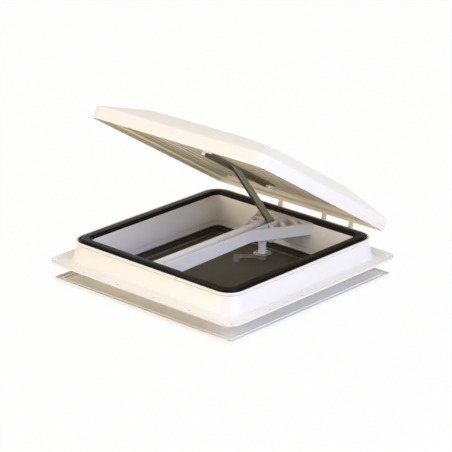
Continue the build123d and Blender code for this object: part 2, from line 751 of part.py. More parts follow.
def crank_plan():
    """Angle and length of the crank in plan."""
    dx, dy = CRANK_X, CRANK_Y - WORM_Y
    return math.degrees(math.atan2(dy, dx)), math.hypot(dx, dy)


def crank_handle():
    """Crank arm on the shaft's lower end."""
    angle, length = crank_plan()
    arm = Pos(length / 2, 0, CRANK_Z) * extrude(Rectangle(length, 9), CRANK_TOP - CRANK_Z)
    arm += Pos(0, 0, 6.5) * extrude(Circle(8.5), CRANK_TOP + 0.5 - 6.5)
    arm += Pos(length, 0, CRANK_Z) * extrude(Circle(6.5), CRANK_TOP - CRANK_Z)
    arm -= Pos(0, 0, 7.5) * extrude(Circle(SHAFT_R + 0.02), 10)
    arm -= Pos(0, 0, 6) * extrude(Circle(1.6), 3)
    arm -= Pos(length, 0, CRANK_Z - 1) * extrude(Circle(2.52), 10)
    return Pos(0, WORM_Y, 0) * Rot(0, 0, angle) * arm


def crank_screw():
    """Screw that holds the crank to the shaft."""
    screw = post(0, WORM_Y, 4.2, 6.5, 4)
    return screw + post(0, WORM_Y, 6.5, 17, 1.45)


def knob_stud():
    """Stud with a head on which the knob spins."""
    stud = post(CRANK_X, CRANK_Y, 2, CRANK_TOP, 2.5)
    return stud + post(CRANK_X, CRANK_Y, 1.4, 2.6, 4)


def crank_knob():
    """Knob round its stud, with its bottom recess for the stud's head."""
    knob = post(CRANK_X, CRANK_Y, 0.8, CRANK_Z - CLEAR, KNOB_R)
    knob = fillet(knob.edges().group_by(Axis.Z)[0], 0.8)
    knob -= post(CRANK_X, CRANK_Y, 0, 20, 2.5 + FIT)
    knob -= post(CRANK_X, CRANK_Y, 0, 2.9, 4.3)
    return knob


def trim_hole_places():
    """Plan positions of the trim's holes, near the corners and at mid-side."""
    near_corner, along, middle = TRIM_HALF - 8.5, TRIM_HALF - 51.5, TRIM_HALF - 18
    holes = []
    for turn in range(0, 360, 90):
        for x, y in ((near_corner, -along), (0, -middle)):
            place = Pos(x, y).position.rotate(Axis.Z, turn)
            holes.append((place.X, place.Y))
    return holes


def inner_trim():
    """Room-side frame with two lips and the sleeve that meets the spigot."""
    trim = square(TRIM_HALF, 5, 0, TRIM_T)
    trim += ring(TRIM_HALF, 5, TRIM_HALF - 4.5, 2, TRIM_T, LIP_Z + 1)
    trim += ring(TRIM_HALF - 11, 3, TRIM_HALF - 14, 2, TRIM_T, LIP_Z)
    trim += ring(SLEEVE_IN + 2.2, SLEEVE_CORNER + 2, SLEEVE_IN, SLEEVE_CORNER, TRIM_T, 38)
    trim -= square(TRIM_OPENING, 12, -1, TRIM_T + 0.1)
    for x, y in trim_hole_places():
        trim -= post(x, y, -1, TRIM_T + 1, HOLE_R)
    return trim


def trim_clips():
    """Spring clip over the inner lip beside the middle of each side."""
    lip = TRIM_HALF - 12.5
    clips = []
    for turn, along in ((0, -7), (90, 7), (180, -7), (270, 7)):
        low, high = along - 5, along + 5
        clip = box(low, high, -lip - 2.7, -lip + 2.7, LIP_Z, LIP_Z + 1)
        clip += box(low, high, -lip - 2.7, -lip - 1.7, TRIM_T, LIP_Z + 1)
        clip += box(low, high, -lip + 1.7, -lip + 2.7, TRIM_T, LIP_Z + 1)
        clips.append(Rot(0, 0, turn) * clip)
    return clips


def screen_frame():
    """Frame of the fly screen, standing on the trim."""
    outer = SLEEVE_IN - 0.4
    corner = SLEEVE_CORNER - 0.4
    frame = ring(outer, corner, outer - 2, corner - 2, TRIM_T, MESH_Z)
    return frame + ring(outer, corner, MESH_HALF - 6, 8, MESH_Z - 2.4, MESH_Z)


def fly_screen():
    """Sheet of fine mesh with the hole for the shaft."""
    return square(MESH_HALF, 12, MESH_Z, MESH_Z + MESH_T) - post(0, WORM_Y, 0, 100, 11)


def screen_spline():
    """Cord that clamps the mesh to its frame."""
    return ring(MESH_HALF, 12, MESH_HALF - 2.5, 10, MESH_Z + MESH_T, MESH_Z + MESH_T + 1.8)


PIECES = (
    outer_frame, rim_seal, hinge_brackets, bracket_rivets, hinge_pins,
    hinge_leaves, leaf_screws, lid_dome, lid_liner, liner_screws, lid_track, track_caps,
    track_screws, operator_beam, beam_screws, gear_housing, housing_screws, worm_bushings,
    rosette, worm_shaft, lift_arm, sector_gear, gear_rivets, arm_pivot_pin, tip_pin,
    slider_shoe, crank_handle, crank_screw, knob_stud, crank_knob, inner_trim, trim_clips,
    screen_frame, fly_screen, screen_spline,
)

for piece in PIECES:
    save(piece.__name__, piece())
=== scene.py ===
import math

import bpy
from mathutils import Matrix, Vector


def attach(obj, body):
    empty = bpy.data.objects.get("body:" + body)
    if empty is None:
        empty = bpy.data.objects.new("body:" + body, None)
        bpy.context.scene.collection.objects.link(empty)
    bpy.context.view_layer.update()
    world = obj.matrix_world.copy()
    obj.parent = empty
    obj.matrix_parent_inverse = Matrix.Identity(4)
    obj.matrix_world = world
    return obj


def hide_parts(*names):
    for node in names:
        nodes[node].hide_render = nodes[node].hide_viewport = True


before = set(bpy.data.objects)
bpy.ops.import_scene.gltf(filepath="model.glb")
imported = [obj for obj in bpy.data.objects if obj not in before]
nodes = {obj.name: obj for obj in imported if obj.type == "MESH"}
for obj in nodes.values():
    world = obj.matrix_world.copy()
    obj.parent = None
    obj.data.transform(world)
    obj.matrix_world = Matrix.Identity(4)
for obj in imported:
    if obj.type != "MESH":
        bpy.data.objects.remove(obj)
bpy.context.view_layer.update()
print("frame loaded")

# Hinge line and opening angle of the lid, and the tilt of the raised arm
pose = {"hinge": (0, 0.240, 0.062), "lidOpen": math.radians(31.5),
        "armPivot": (0, 0.141, 0.060), "armTurn": math.radians(45.675)}
mm = 0.001


def deselect():
    if bpy.context.object and bpy.context.object.mode != "OBJECT":
        bpy.ops.object.mode_set(mode="OBJECT")
    bpy.ops.object.select_all(action="DESELECT")


def selectOnly(piece):
    deselect()
    piece.select_set(True)
    bpy.context.view_layer.objects.active = piece


def editSelect(piece, kind, test):
    # enters edit mode with the vertices, edges or faces chosen that pass the test
    selectOnly(piece)
    bpy.ops.object.mode_set(mode="EDIT")
    bpy.ops.mesh.select_mode(type={"vertices": "VERT", "edges": "EDGE", "polygons": "FACE"}[kind])
    bpy.ops.mesh.select_all(action="DESELECT")
    bpy.ops.object.mode_set(mode="OBJECT")
    for item in getattr(piece.data, kind):
        item.select = test(item)
    bpy.ops.object.mode_set(mode="EDIT")


def leaveEdit():
    bpy.ops.object.mode_set(mode="OBJECT")


def applyPlace(piece):
    selectOnly(piece)
    bpy.ops.object.transform_apply(location=True, rotation=True, scale=True)


def turnAbout(piece, centre, angle):
    # turns a finished piece about a line along X
    place = Matrix.Translation(centre)
    piece.data.transform(place @ Matrix.Rotation(angle, 4, "X") @ place.inverted())


def openLid(piece):
    turnAbout(piece, pose["hinge"], -pose["lidOpen"])


def raiseArm(piece):
    turnAbout(piece, pose["armPivot"], -pose["armTurn"])


def setModifier(piece, kind, **settings):
    # adds a modifier, sets it and applies it
    selectOnly(piece)
    bpy.ops.object.modifier_add(type=kind)
    modifier = piece.modifiers[-1]
    for key, value in settings.items():
        setattr(modifier, key, value)
    bpy.ops.object.modifier_apply(modifier=modifier.name)


def joinPieces(pieces):
    deselect()
    for piece in pieces:
        piece.select_set(True)
    bpy.context.view_layer.objects.active = pieces[0]
    bpy.ops.object.join()
    return pieces[0]


def carve(piece, cutters, operation="DIFFERENCE"):
    # takes the cutters away from a piece, or adds them to it
    tool = joinPieces(cutters)
    setModifier(piece, "BOOLEAN", object=tool, operation=operation, solver="EXACT")
    bpy.data.objects.remove(tool)
    return piece


meshMend = {"merge": 0.01, "sliver": 0.005, "pinhole": 12}  # two lengths, and a count of sides


def mendMesh(piece):
    # merges points that a cut left on one another and closes the pinholes beside them
    editSelect(piece, "vertices", lambda item: True)
    bpy.ops.mesh.remove_doubles(threshold=meshMend["merge"] * mm)
    bpy.ops.mesh.dissolve_degenerate(threshold=meshMend["sliver"] * mm)
    bpy.ops.mesh.select_all(action="SELECT")
    bpy.ops.mesh.fill_holes(sides=meshMend["pinhole"])
    bpy.ops.mesh.select_all(action="SELECT")
    bpy.ops.mesh.normals_make_consistent(inside=False)
    leaveEdit()
    return piece


def roundEdges(piece, width, segments=2, angle=40):
    setModifier(piece, "BEVEL", width=width * mm, segments=segments, limit_method="ANGLE",
                angle_limit=math.radians(angle), use_clamp_overlap=True)
    return piece


def block(x0, x1, y0, y1, z0, z1):
    # box between two corners in millimetres
    deselect()
    middle = ((x0 + x1) / 2 * mm, (y0 + y1) / 2 * mm, (z0 + z1) / 2 * mm)
    bpy.ops.mesh.primitive_cube_add(size=1, location=middle)
    piece = bpy.context.object
    piece.scale = ((x1 - x0) * mm, (y1 - y0) * mm, (z1 - z0) * mm)
    applyPlace(piece)
    return piece


def rod(start, end, radius, endRadius=None, sides=24):
    # cylinder or cone between two points in millimetres
    deselect()
    first, last = Vector(start) * mm, Vector(end) * mm
    bpy.ops.mesh.primitive_cone_add(vertices=sides, radius1=radius * mm,
                                    radius2=(radius if endRadius is None else endRadius) * mm,
                                    depth=(last - first).length, location=(first + last) / 2)
    piece = bpy.context.object
    piece.rotation_euler = (last - first).to_track_quat("Z", "Y").to_euler()
    applyPlace(piece)
    return piece


def hullRods(rods):
    # skins rods with one smooth convex shape
    piece = joinPieces(rods)
    editSelect(piece, "vertices", lambda item: True)
    bpy.ops.mesh.convex_hull()
    leaveEdit()
    return piece


def hullUp(circles, low, high, sides=24):
    # upright prism round circles given as (x, y, radius)
    return hullRods([rod((x, y, low), (x, y, high), radius, sides=sides) for x, y, radius in circles])


def hullAcross(circles, halfWidth):
    # prism along X round circles given as (y, z, radius)
    return hullRods([rod((-halfWidth, y, z), (halfWidth, y, z), radius, sides=32)
                     for y, z, radius in circles])


def boreUp(piece, places, low, high, radius, sides=20):
    # upright holes at places given as (x, y)
    return carve(piece, [rod((*place, low), (*place, high), radius, sides=sides) for place in places])


def boreAcross(piece, centre, halfWidth, radius, sides=32, x=0):
    # hole along X through a point given as (y, z)
    return carve(piece, [rod((x - halfWidth, *centre), (x + halfWidth, *centre), radius, sides=sides)])


def slide(piece, offset):
    # moves a piece by millimetres, in its mesh
    selectOnly(piece)
    bpy.ops.transform.translate(value=[part * mm for part in offset])
    bpy.ops.object.transform_apply(location=True)
    return piece


def turnFlat(piece, centre, angle):
    # turns a finished piece about an upright line
    place = Matrix.Translation(Vector(centre) * mm)
    piece.data.transform(place @ Matrix.Rotation(angle, 4, "Z") @ place.inverted())


def copyTo(piece, places):
    # copies of a piece modelled at the origin, each with its own mesh; the first piece is used up
    copies = []
    for place in places:
        selectOnly(piece)
        bpy.ops.object.duplicate()
        copies.append(slide(bpy.context.object, place))
    bpy.data.objects.remove(piece)
    return joinPieces(copies)


def squareLoop(half, centre, height, steps):
    # one rounded square outline; centre is how far its corner centres lie from the middle
    deselect()
    bpy.ops.mesh.primitive_plane_add(size=2 * half * mm, location=(0, 0, height * mm))
    loop = bpy.context.object
    applyPlace(loop)
    editSelect(loop, "vertices", lambda item: True)
    bpy.ops.mesh.bevel(affect="VERTICES", offset=(half - centre) * mm, segments=steps)
    bpy.ops.mesh.select_all(action="SELECT")
    bpy.ops.mesh.delete(type="ONLY_FACE")
    leaveEdit()
    return loop


def between(start, end, part):
    return tuple(a + (b - a) * part for a, b in zip(start, end))


def roundProfile(points, steps=3):
    # rounds the corners of a profile given as (half, centre, height, fillet)
    levels = []
    for place, point in enumerate(points):
        corner, fillet = point[:3], point[3]
        if fillet == 0:
            levels.append(corner)
            continue
        before, after = points[place - 1][:3], points[(place + 1) % len(points)][:3]
        ends = []
        for other in (before, after):
            length = math.hypot(other[0] - corner[0], other[2] - corner[2])
            ends.append(between(corner, other, min(0.45, fillet / length)))
        for step in range(steps + 1):
            part = step / steps
            levels.append(between(between(ends[0], corner, part), between(corner, ends[1], part), part))
    return levels


def bridgeLoops(piece, first, second, count):
    def inLoop(edge):
        ends = {corner // count for corner in edge.vertices}
        return ends == {first} or ends == {second}
    editSelect(piece, "edges", inLoop)
    bpy.ops.mesh.bridge_edge_loops()
    leaveEdit()


def sweepSquare(points, closed=True, steps=8):
    # skins rounded square outlines, bridged as a tall stack and then moved to their heights
    levels = roundProfile(points)
    count, apart = 4 * (steps + 1), 20
    piece = squareLoop(*levels[0][:2], 0, steps)
    for place, level in enumerate(levels[1:]):
        piece = joinPieces([piece, squareLoop(*level[:2], apart * (place + 1), steps)])
        bridgeLoops(piece, place, place + 1, count)
    if closed:
        bridgeLoops(piece, 0, len(levels) - 1, count)
    else:
        for place in (0, len(levels) - 1):
            editSelect(piece, "edges", lambda edge: {corner // count for corner in edge.vertices} == {place})
            bpy.ops.mesh.edge_face_add()
            leaveEdit()
    for place, level in enumerate(levels):
        editSelect(piece, "vertices", lambda corner: corner.index // count == place)
        bpy.ops.transform.translate(value=(0, 0, (level[2] - apart * place) * mm))
        leaveEdit()
    editSelect(piece, "polygons", lambda item: True)
    bpy.ops.mesh.normals_make_consistent(inside=False)
    leaveEdit()
    return piece


def finishPiece(piece, name, body, material, replaced, angle=35):
    piece.name = name
    selectOnly(piece)
    bpy.ops.object.shade_smooth_by_angle(angle=math.radians(angle))
    piece.data.materials.clear()
    piece.data.materials.append(material)
    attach(piece, body)
    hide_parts(*replaced)
    return piece


def linear(hexText):
    # sRGB hex to the linear colour that a socket takes
    parts = [int(hexText[place:place + 2], 16) / 255 for place in (1, 3, 5)]
    return [part / 12.92 if part <= 0.04045 else ((part + 0.055) / 1.055) ** 2.4 for part in parts] + [1]


def addNode(tree, kind, inputs=None, **settings):
    # adds a shader node and sets it; an input takes a socket to link or a plain value
    node = tree.nodes.new(kind)
    for key, value in settings.items():
        if hasattr(node, key):
            setattr(node, key, value)
        else:
            node.inputs[key.replace("_", " ")].default_value = value
    for key, source in (inputs or {}).items():
        if isinstance(source, bpy.types.NodeSocket):
            tree.links.new(source, node.inputs[key])
        else:
            node.inputs[key].default_value = source
    return node


def newMaterial(name):
    material = bpy.data.materials.new(name)
    material.use_nodes = True
    tree = material.node_tree
    shader = tree.nodes["Principled BSDF"]
    place = addNode(tree, "ShaderNodeTexCoord").outputs["Object"]
    return material, tree, shader, place


def varySurface(tree, shader, tintFrom, glossFrom, colours, gloss):
    # colour wanders between two close shades, and roughness between two values
    mix = addNode(tree, "ShaderNodeMix", {"Factor": tintFrom, "A": linear(colours[0]),
                                          "B": linear(colours[1])}, data_type="RGBA")
    tree.links.new(mix.outputs["Result"], shader.inputs["Base Color"])
    spread = addNode(tree, "ShaderNodeMapRange", {"Value": glossFrom, "To Min": gloss[0], "To Max": gloss[1]})
    tree.links.new(spread.outputs["Result"], shader.inputs["Roughness"])


# Clouds are patches of tint per metre; depths are in metres and the soft edge in millimetres
mouldedAbs = {"clouds": 9, "spread": 0.05, "softEdge": 0.5, "bump": 0.06, "peelDeep": 0.0004, "ior": 1.53}
rolledSteel = {"along": 20, "spread": 0.08, "bump": 0.1, "lineDeep": 0.0002}
epdmSkin = {"clouds": 60, "smoother": 0.06, "rougher": 0.1, "bump": 0.08, "skinDeep": 0.0006,
            "ior": 1.52, "specular": 0.2}


def mouldedPlastic(name, colour, shade, roughness, grain=0.9):
    # ABS from a polished and lightly spark-eroded mould: even colour, satin gloss, a faint orange peel
    material, tree, shader, place = newMaterial(name)
    cloud = addNode(tree, "ShaderNodeTexNoise", {"Vector": place}, Scale=mouldedAbs["clouds"], Detail=3)
    peel = addNode(tree, "ShaderNodeTexNoise", {"Vector": place}, Scale=1000 / grain, Detail=2)
    spread = mouldedAbs["spread"]
    varySurface(tree, shader, cloud.outputs["Fac"], peel.outputs["Fac"], (colour, shade),
                (roughness - spread, roughness + spread))
    soft = addNode(tree, "ShaderNodeBevel", Radius=mouldedAbs["softEdge"] * mm)
    bump = addNode(tree, "ShaderNodeBump", {"Height": peel.outputs["Fac"], "Normal": soft.outputs["Normal"]},
                   Strength=mouldedAbs["bump"], Distance=mouldedAbs["peelDeep"])
    tree.links.new(bump.outputs["Normal"], shader.inputs["Normal"])
    shader.inputs["IOR"].default_value = mouldedAbs["ior"]
    return material


def sheetSteel(name, colour, shade, roughness, turn=0.0, streak=0.6):
    # cold-rolled steel under a thin zinc coat: fine rolling lines along the strip and a dull broad sheen
    material, tree, shader, place = newMaterial(name)
    lay = addNode(tree, "ShaderNodeMapping", {"Vector": place}, Rotation=(turn, 0, 0),
                  Scale=(1000 / streak, rolledSteel["along"], 1000 / streak))
    lines = addNode(tree, "ShaderNodeTexNoise", {"Vector": lay.outputs["Vector"]}, Scale=1, Detail=3)
    spread = rolledSteel["spread"]
    varySurface(tree, shader, lines.outputs["Fac"], lines.outputs["Fac"], (colour, shade),
                (roughness - spread, roughness + spread))
    bump = addNode(tree, "ShaderNodeBump", {"Height": lines.outputs["Fac"]},
                   Strength=rolledSteel["bump"], Distance=rolledSteel["lineDeep"])
    tree.links.new(bump.outputs["Normal"], shader.inputs["Normal"])
    shader.inputs["Metallic"].default_value = 1
    return material


def extrudedRubber(name, colour, shade, roughness):
    # EPDM extrusion: nearly black, with a skin that shines where it is stretched round the bulb
    material, tree, shader, place = newMaterial(name)
    cloud = addNode(tree, "ShaderNodeTexNoise", {"Vector": place}, Scale=epdmSkin["clouds"], Detail=4)
    varySurface(tree, shader, cloud.outputs["Fac"], cloud.outputs["Fac"], (colour, shade),
                (roughness - epdmSkin["smoother"], roughness + epdmSkin["rougher"]))
    bump = addNode(tree, "ShaderNodeBump", {"Height": cloud.outputs["Fac"]},
                   Strength=epdmSkin["bump"], Distance=epdmSkin["skinDeep"])
    tree.links.new(bump.outputs["Normal"], shader.inputs["Normal"])
    shader.inputs["IOR"].default_value = epdmSkin["ior"]
    shader.inputs["Specular IOR Level"].default_value = epdmSkin["specular"]
    return material


whiteAbs = mouldedPlastic("whiteAbs", "#F3EEE6", "#EFE9DF", 0.34)
shadedLinerAbs = mouldedPlastic("shadedLinerAbs", "#E9DEC4", "#E0D4B8", 0.42)  # painted shade: a beige, darker copy of the white ABS for the lid's liner, for the shade and warm bounce under the lid
taupeAbs = mouldedPlastic("taupeAbs", "#8F8976", "#847E6C", 0.38)
# painted light: a whiter copy of the white ABS, so the trim in the flange's shade reads brightly lit
brightenedTrimAbs = mouldedPlastic("brightenedTrimAbs", "#FFFCF6", "#FAF6EE", 0.40)
paintedHoleShade = mouldedPlastic("paintedHoleShade", "#25211C", "#1A1713", 0.7)  # painted shade: near black inside the flange holes, for the shade in the small bores
brownPaint = mouldedPlastic("brownPowderCoat", "#5E5245", "#52473B", 0.45, grain=0.4)  # finely pebbled
acetal = mouldedPlastic("acetal", "#EDEBE4", "#E6E3DA", 0.30, grain=0.5)  # waxy and pale
meshFibre = mouldedPlastic("pvcCoatedFibre", "#5A5242", "#484034", 0.55, grain=0.3)  # dull thread
sealRubber = extrudedRubber("epdmRubber", "#060706", "#0D0D0B", 0.22)
armSteel = sheetSteel("zincedArmSteel", "#C0C2B4", "#A9AB9B", 0.46, turn=math.radians(52.9))
zincSteel = sheetSteel("zincPlatedSteel", "#B9BAB8", "#A2A3A2", 0.32)
chromePlate = sheetSteel("chromePlate", "#DADBDD", "#CFD0D3", 0.12, streak=1.5)  # bright and smooth
print("materials made")

# Small parts and fasteners that keep the mesh they came with
nodeFinish = {
    acetal: ("worm_bushings", "slider_shoe"),
    zincSteel: ("bracket_rivets", "hinge_pins", "leaf_screws", "beam_screws", "worm_shaft",
                "sector_gear", "gear_rivets", "arm_pivot_pin", "tip_pin", "knob_stud"),
}
for material, names in nodeFinish.items():
    for name in names:
        nodes[name].data.materials.clear()
        nodes[name].data.materials.append(material)
print("frame nodes finished")

# Roof frame: profile of flange, upstand, lip, ledge and inner wall as (half, centre, height, fillet)
roofFrame = {
    "profile": (
        (250, 224, 39, 0.8), (250, 224, 42.8, 0.7), (248, 224, 42.8, 0.5), (247.7, 224, 42, 0.3),
        (222.9, 186, 42, 5), (214.7, 179.2, 77.6, 0.3), (212.7, 178.2, 77.9, 0.2), (212.7, 178.2, 81, 0.2),
        (217.5, 180.5, 81, 0.5), (217.5, 180.5, 85, 1),
        (213.5, 180.5, 85, 0.8), (213.5, 180.5, 82, 0.3), (187.3, 174.2, 82, 1.2),
        (182, 169, 29.5, 0.8), (185, 169, 29.5, 0.8), (189.9, 174, 79, 0.5), (210.6, 178.6, 79, 0.5),
        (219, 187, 39, 0.5)),
    "flange": (39, 42), "corner": 236, "line": 241,
    "front": (-149, -56, 40, 133), "rear": (-165, -95, 95, 165),
    "hole": 2, "holeCut": (38, 44), "sink": 3.9, "sinkStart": 0.1, "sinkPast": 0.6,
    "rivets": (-130, -59, 59, 130), "rivetStep": 9.8, "rivetLine": 245, "rivetSeat": (38.9, 43, 2.65, 1.6),
    "beamScrews": ((-6, 77, -1), (6, 77, -1), (-38, 79, 1), (43, 79, 1), (62, 79, 1)),
    "screwHole": (180, 194, 1.6),
}


def flangeHoles():
    far, line = roofFrame["corner"], roofFrame["line"]
    places = [(x, y) for x in (-far, far) for y in (-far, far)]
    places += [(x, -line) for x in roofFrame["front"]]
    places += [(x, line) for x in roofFrame["rear"]]
    return places + [(x, -y) for x in (-line, line) for y in roofFrame["front"]]


def modelRoofFrame():
    piece = sweepSquare(roofFrame["profile"])
    hole, sink = roofFrame["hole"], roofFrame["sink"]
    start, past = roofFrame["sinkStart"], roofFrame["sinkPast"]
    low, top = roofFrame["flange"]
    places = flangeHoles()
    boreUp(piece, places, *roofFrame["holeCut"], hole)
    sinkLow, sinkTop = top + start - sink + hole, top + past
    carve(piece, [rod((x, y, sinkLow), (x, y, sinkTop), hole + start, sink + past, sides=20)
                  for x, y in places])
    seatLow, seatTop, wide, narrow = roofFrame["rivetSeat"]
    seats = [(x + step, roofFrame["rivetLine"]) for x in roofFrame["rivets"]
             for step in (-roofFrame["rivetStep"], roofFrame["rivetStep"])]
    carve(piece, [rod((x, y, seatLow), (x, y, seatTop), wide, narrow, sides=16) for x, y in seats])
    near, far, radius = roofFrame["screwHole"]
    carve(piece, [rod((x, way * near, z), (x, way * far, z), radius, sides=12)
                  for x, z, way in roofFrame["beamScrews"]])
    finishPiece(piece, "roofFrame", "frame", whiteAbs, ["outer_frame"])
    # painted shade: the faces inside the flange holes take the near-black material
    piece.data.materials.append(paintedHoleShade)
    for face in piece.data.polygons:
        x, y, z = face.center / mm
        inBore = any(math.hypot(x - holeX, y - holeY) < hole + start for holeX, holeY in places)
        if inBore and low - start < z < top:
            face.material_index = 1
    return piece


modelRoofFrame()
print("roof frame done")

# Rubber seal: flat strip with a wide bulb and a thin bead at each edge
rimSeal = {"profile": (
    (212.3, 180.3, 82.05, 0.2), (212.3, 180.3, 86, 0.8), (209.9, 180.3, 86, 0.8), (209.6, 180.3, 84.2, 0.4),
    (207.2, 180, 84.2, 0.4), (207, 180, 88.5, 3.2), (192, 176, 88.5, 3.6), (191.8, 175.5, 84.2, 0.5),
    (190.7, 175, 84.2, 0.4), (190.5, 175, 86.2, 0.7), (188.1, 174.8, 86.2, 0.9), (187.9, 174.8, 82.05, 0.2))}
seal = sweepSquare(rimSeal["profile"])
finishPiece(seal, "rimSeal", "frame", sealRubber, ["rim_seal"], angle=60)
print("seal done")

# Lid shell: straight wall, rounded shoulder and a shallow crown whose corners are much rounder
lidShell = {"profile": (
    (160, 97, 136, 0), (171.5, 101.5, 136, 5), (226.5, 202.5, 108.6, 6), (226.5, 202.5, 83, 1),
    (223.5, 202.5, 83, 0.6), (223.5, 202.5, 107.2, 4), (170.7, 104, 133, 3), (160, 97, 133, 0))}
shell = sweepSquare(lidShell["profile"], closed=False, steps=12)
openLid(shell)
finishPiece(shell, "lidShell", "lid", whiteAbs, ["lid_dome"], angle=50)
print("lid shell done")

# Lid liner: skirt, sealing face with a groove, step up to the ceiling, beads, and the rail's housing
lidLiner = {
    "profile": (
        (150, 141, 96, 0), (168.4, 158, 96, 0.8), (169, 158, 93.5, 0.8), (176, 160, 93.5, 0.8),
        (176.6, 160, 96, 0.8), (184, 164, 96, 1.6), (185, 164, 88.8, 1.6), (209.6, 190, 88.8, 0.3),
        (209.8, 190, 90.2, 0.3), (212.4, 190, 90.2, 0.3), (212.6, 190, 88.8, 0.3), (219.4, 200, 88.8, 0.8),
        (219.6, 200, 84.6, 0.6), (222, 200, 84.6, 0.6), (222, 200, 91.3, 0.8), (187, 166, 91.3, 1),
        (186.5, 166, 98.5, 1), (150, 141, 98.5, 0)),
    "beads": (-150, -118, -86, -54, 54, 86, 118, 150),
    "beadHalf": 4, "beadEnd": 150, "beadHeight": (94.6, 97.6), "beadRound": 1,
    "housing": (-15.5, 15.5, -120, 113, 97, 112),
    "cavity": (-12.6, 12.6, -117.5, 110.5, 90, 109.3), "cavityRound": 1.5,
}
liner = sweepSquare(lidLiner["profile"], closed=False, steps=8)
beads = []
for x in lidLiner["beads"]:
    half, end = lidLiner["beadHalf"], lidLiner["beadEnd"]
    bead = block(x - half, x + half, -end, end, *lidLiner["beadHeight"])
    beads.append(roundEdges(bead, lidLiner["beadRound"], 3))
carve(liner, beads, "UNION")
carve(liner, [block(*lidLiner["housing"])], "UNION")
carve(liner, [roundEdges(block(*lidLiner["cavity"]), lidLiner["cavityRound"], 3)])
openLid(liner)
# painted shade: the liner takes the beige, darker copy of the white ABS
finishPiece(liner, "lidLiner", "lid", shadedLinerAbs, ["lid_liner"], angle=40)
print("lid liner done")

# Fly screen: two layers of fine coated thread that stop at the hole for the shaft
flyMesh = {"half": 176.5, "height": 17.2, "pitch": 1.5, "thread": 0.125, "lift": 0.14,
           "holeAt": (0, 119), "hole": 11}


def threadRow(alongX, lift, first, count, start, end):
    # equal threads side by side, from thread number first on
    half, pitch, height = flyMesh["half"], flyMesh["pitch"], flyMesh["height"] + lift
    across = first * pitch - half
    ends = [(place, across, height) if alongX else (across, place, height) for place in (start, end)]
    row = rod(*ends, flyMesh["thread"], sides=5)
    if count > 1:
        step = (0, pitch * mm, 0) if alongX else (pitch * mm, 0, 0)
        setModifier(row, "ARRAY", count=count, use_relative_offset=False, use_constant_offset=True,
                    constant_offset_displace=step)
    return row


def threadLayer(alongX, lift):
    half, pitch, hole = flyMesh["half"], flyMesh["pitch"], flyMesh["hole"]
    beside, across = flyMesh["holeAt"] if alongX else flyMesh["holeAt"][::-1]
    total = int(2 * half / pitch) + 1
    first = math.ceil((across - hole + half) / pitch)
    last = math.floor((across + hole + half) / pitch)
    rows = [threadRow(alongX, lift, 0, first, -half, half),
            threadRow(alongX, lift, last + 1, total - last - 1, -half, half)]
    for number in range(first, last + 1):
        reach = math.sqrt(hole ** 2 - (number * pitch - half - across) ** 2)
        rows.append(threadRow(alongX, lift, number, 1, -half, beside - reach))
        rows.append(threadRow(alongX, lift, number, 1, beside + reach, half))
    return joinPieces(rows)


layers = [threadLayer(True, flyMesh["lift"]), threadLayer(False, -flyMesh["lift"])]
finishPiece(joinPieces(layers), "flyMesh", "frame", meshFibre, ["fly_screen"])
print("fly screen done")

# Inner trim: flat plate, two lips and the sleeve
innerTrim = {
    "profile": (
        (238.5, 233.5, 0, 0.6), (238.5, 233.5, 6, 0.6), (236.3, 233.5, 6, 0.5), (236.2, 233.5, 1, 0.2),
        (234.4, 232.3, 1, 0.2), (234.4, 232.3, 3.2, 0.4), (229.3, 226, 3.2, 0.4), (229.3, 226, 1, 0.2),
        (227.5, 224.5, 1, 0.2), (227.5, 224.5, 5, 0.5),
        (224.5, 222.5, 5, 0.5), (224.5, 222.5, 2.5, 0.3), (188.2, 171.2, 2.5, 0.6),
        (188.2, 171.2, 38, 0.5), (186, 171, 38, 0.5), (186, 171, 2.6, 0.3), (180, 168, 2.6, 0.4),
        (180, 168, 0, 0.6)),
    "corner": 230, "along": 187, "middle": 220.5, "hole": (-1, 7, 2),
}
trim = sweepSquare(innerTrim["profile"])
for turn in range(4):
    for x, y in ((innerTrim["corner"], -innerTrim["along"]), (0, -innerTrim["middle"])):
        place = Matrix.Rotation(math.radians(90 * turn), 3, "Z") @ Vector((x, y, 0))
        boreUp(trim, [place.xy], *innerTrim["hole"])
# painted light: the trim takes the whiter copy of the white ABS
finishPiece(trim, "innerTrim", "frame", brightenedTrimAbs, ["inner_trim"])
print("trim done")

# Lift arm: steel channel with returned lips, cranked down to its pivot; drawn lowered, then raised
arm = {
    "pivot": (141, 60), "reach": 212.9, "start": math.radians(11.05), "offset": 14.3,
    "halfWidth": 4, "sheet": 1.3, "tipRadius": 5.9, "halfDepth": 6.5,
    "foot": 14, "footRadius": 6, "heelRadius": 6.2, "boss": 8.5, "hollow": (12, 8), "hollowTip": 4.7,
    "slot": 1.9, "slotEnd": 2.4, "slotDown": 23, "openFrom": 62, "openDown": 40, "inset": 0.03,
    "pivotBore": 3.05, "tipBore": 2.22, "rivetBore": 1.55, "rivets": (15, 3), "drill": 6, "round": 0.4,
}


def onArm(backward, up=0):
    # point of the lowered arm, measured back from the tip pin and up from its middle
    pivotY, pivotZ = arm["pivot"]
    reach, start = arm["reach"], arm["start"]
    slope = start - math.asin(arm["offset"] / reach)
    tipY, tipZ = pivotY - reach * math.cos(start), pivotZ + reach * math.sin(start)
    return (tipY + backward * math.cos(slope) + up * math.sin(slope),
            tipZ - backward * math.sin(slope) + up * math.cos(slope))


def armSpace(halfWidth, circles, down):
    # prism round the circles that also reaches down by a distance
    slope = arm["start"] - math.asin(arm["offset"] / arm["reach"])
    fall = (-down * math.sin(slope), -down * math.cos(slope))
    lowered = [(y + fall[0], z + fall[1], radius) for y, z, radius in circles]
    return hullAcross(list(circles) + lowered, halfWidth)


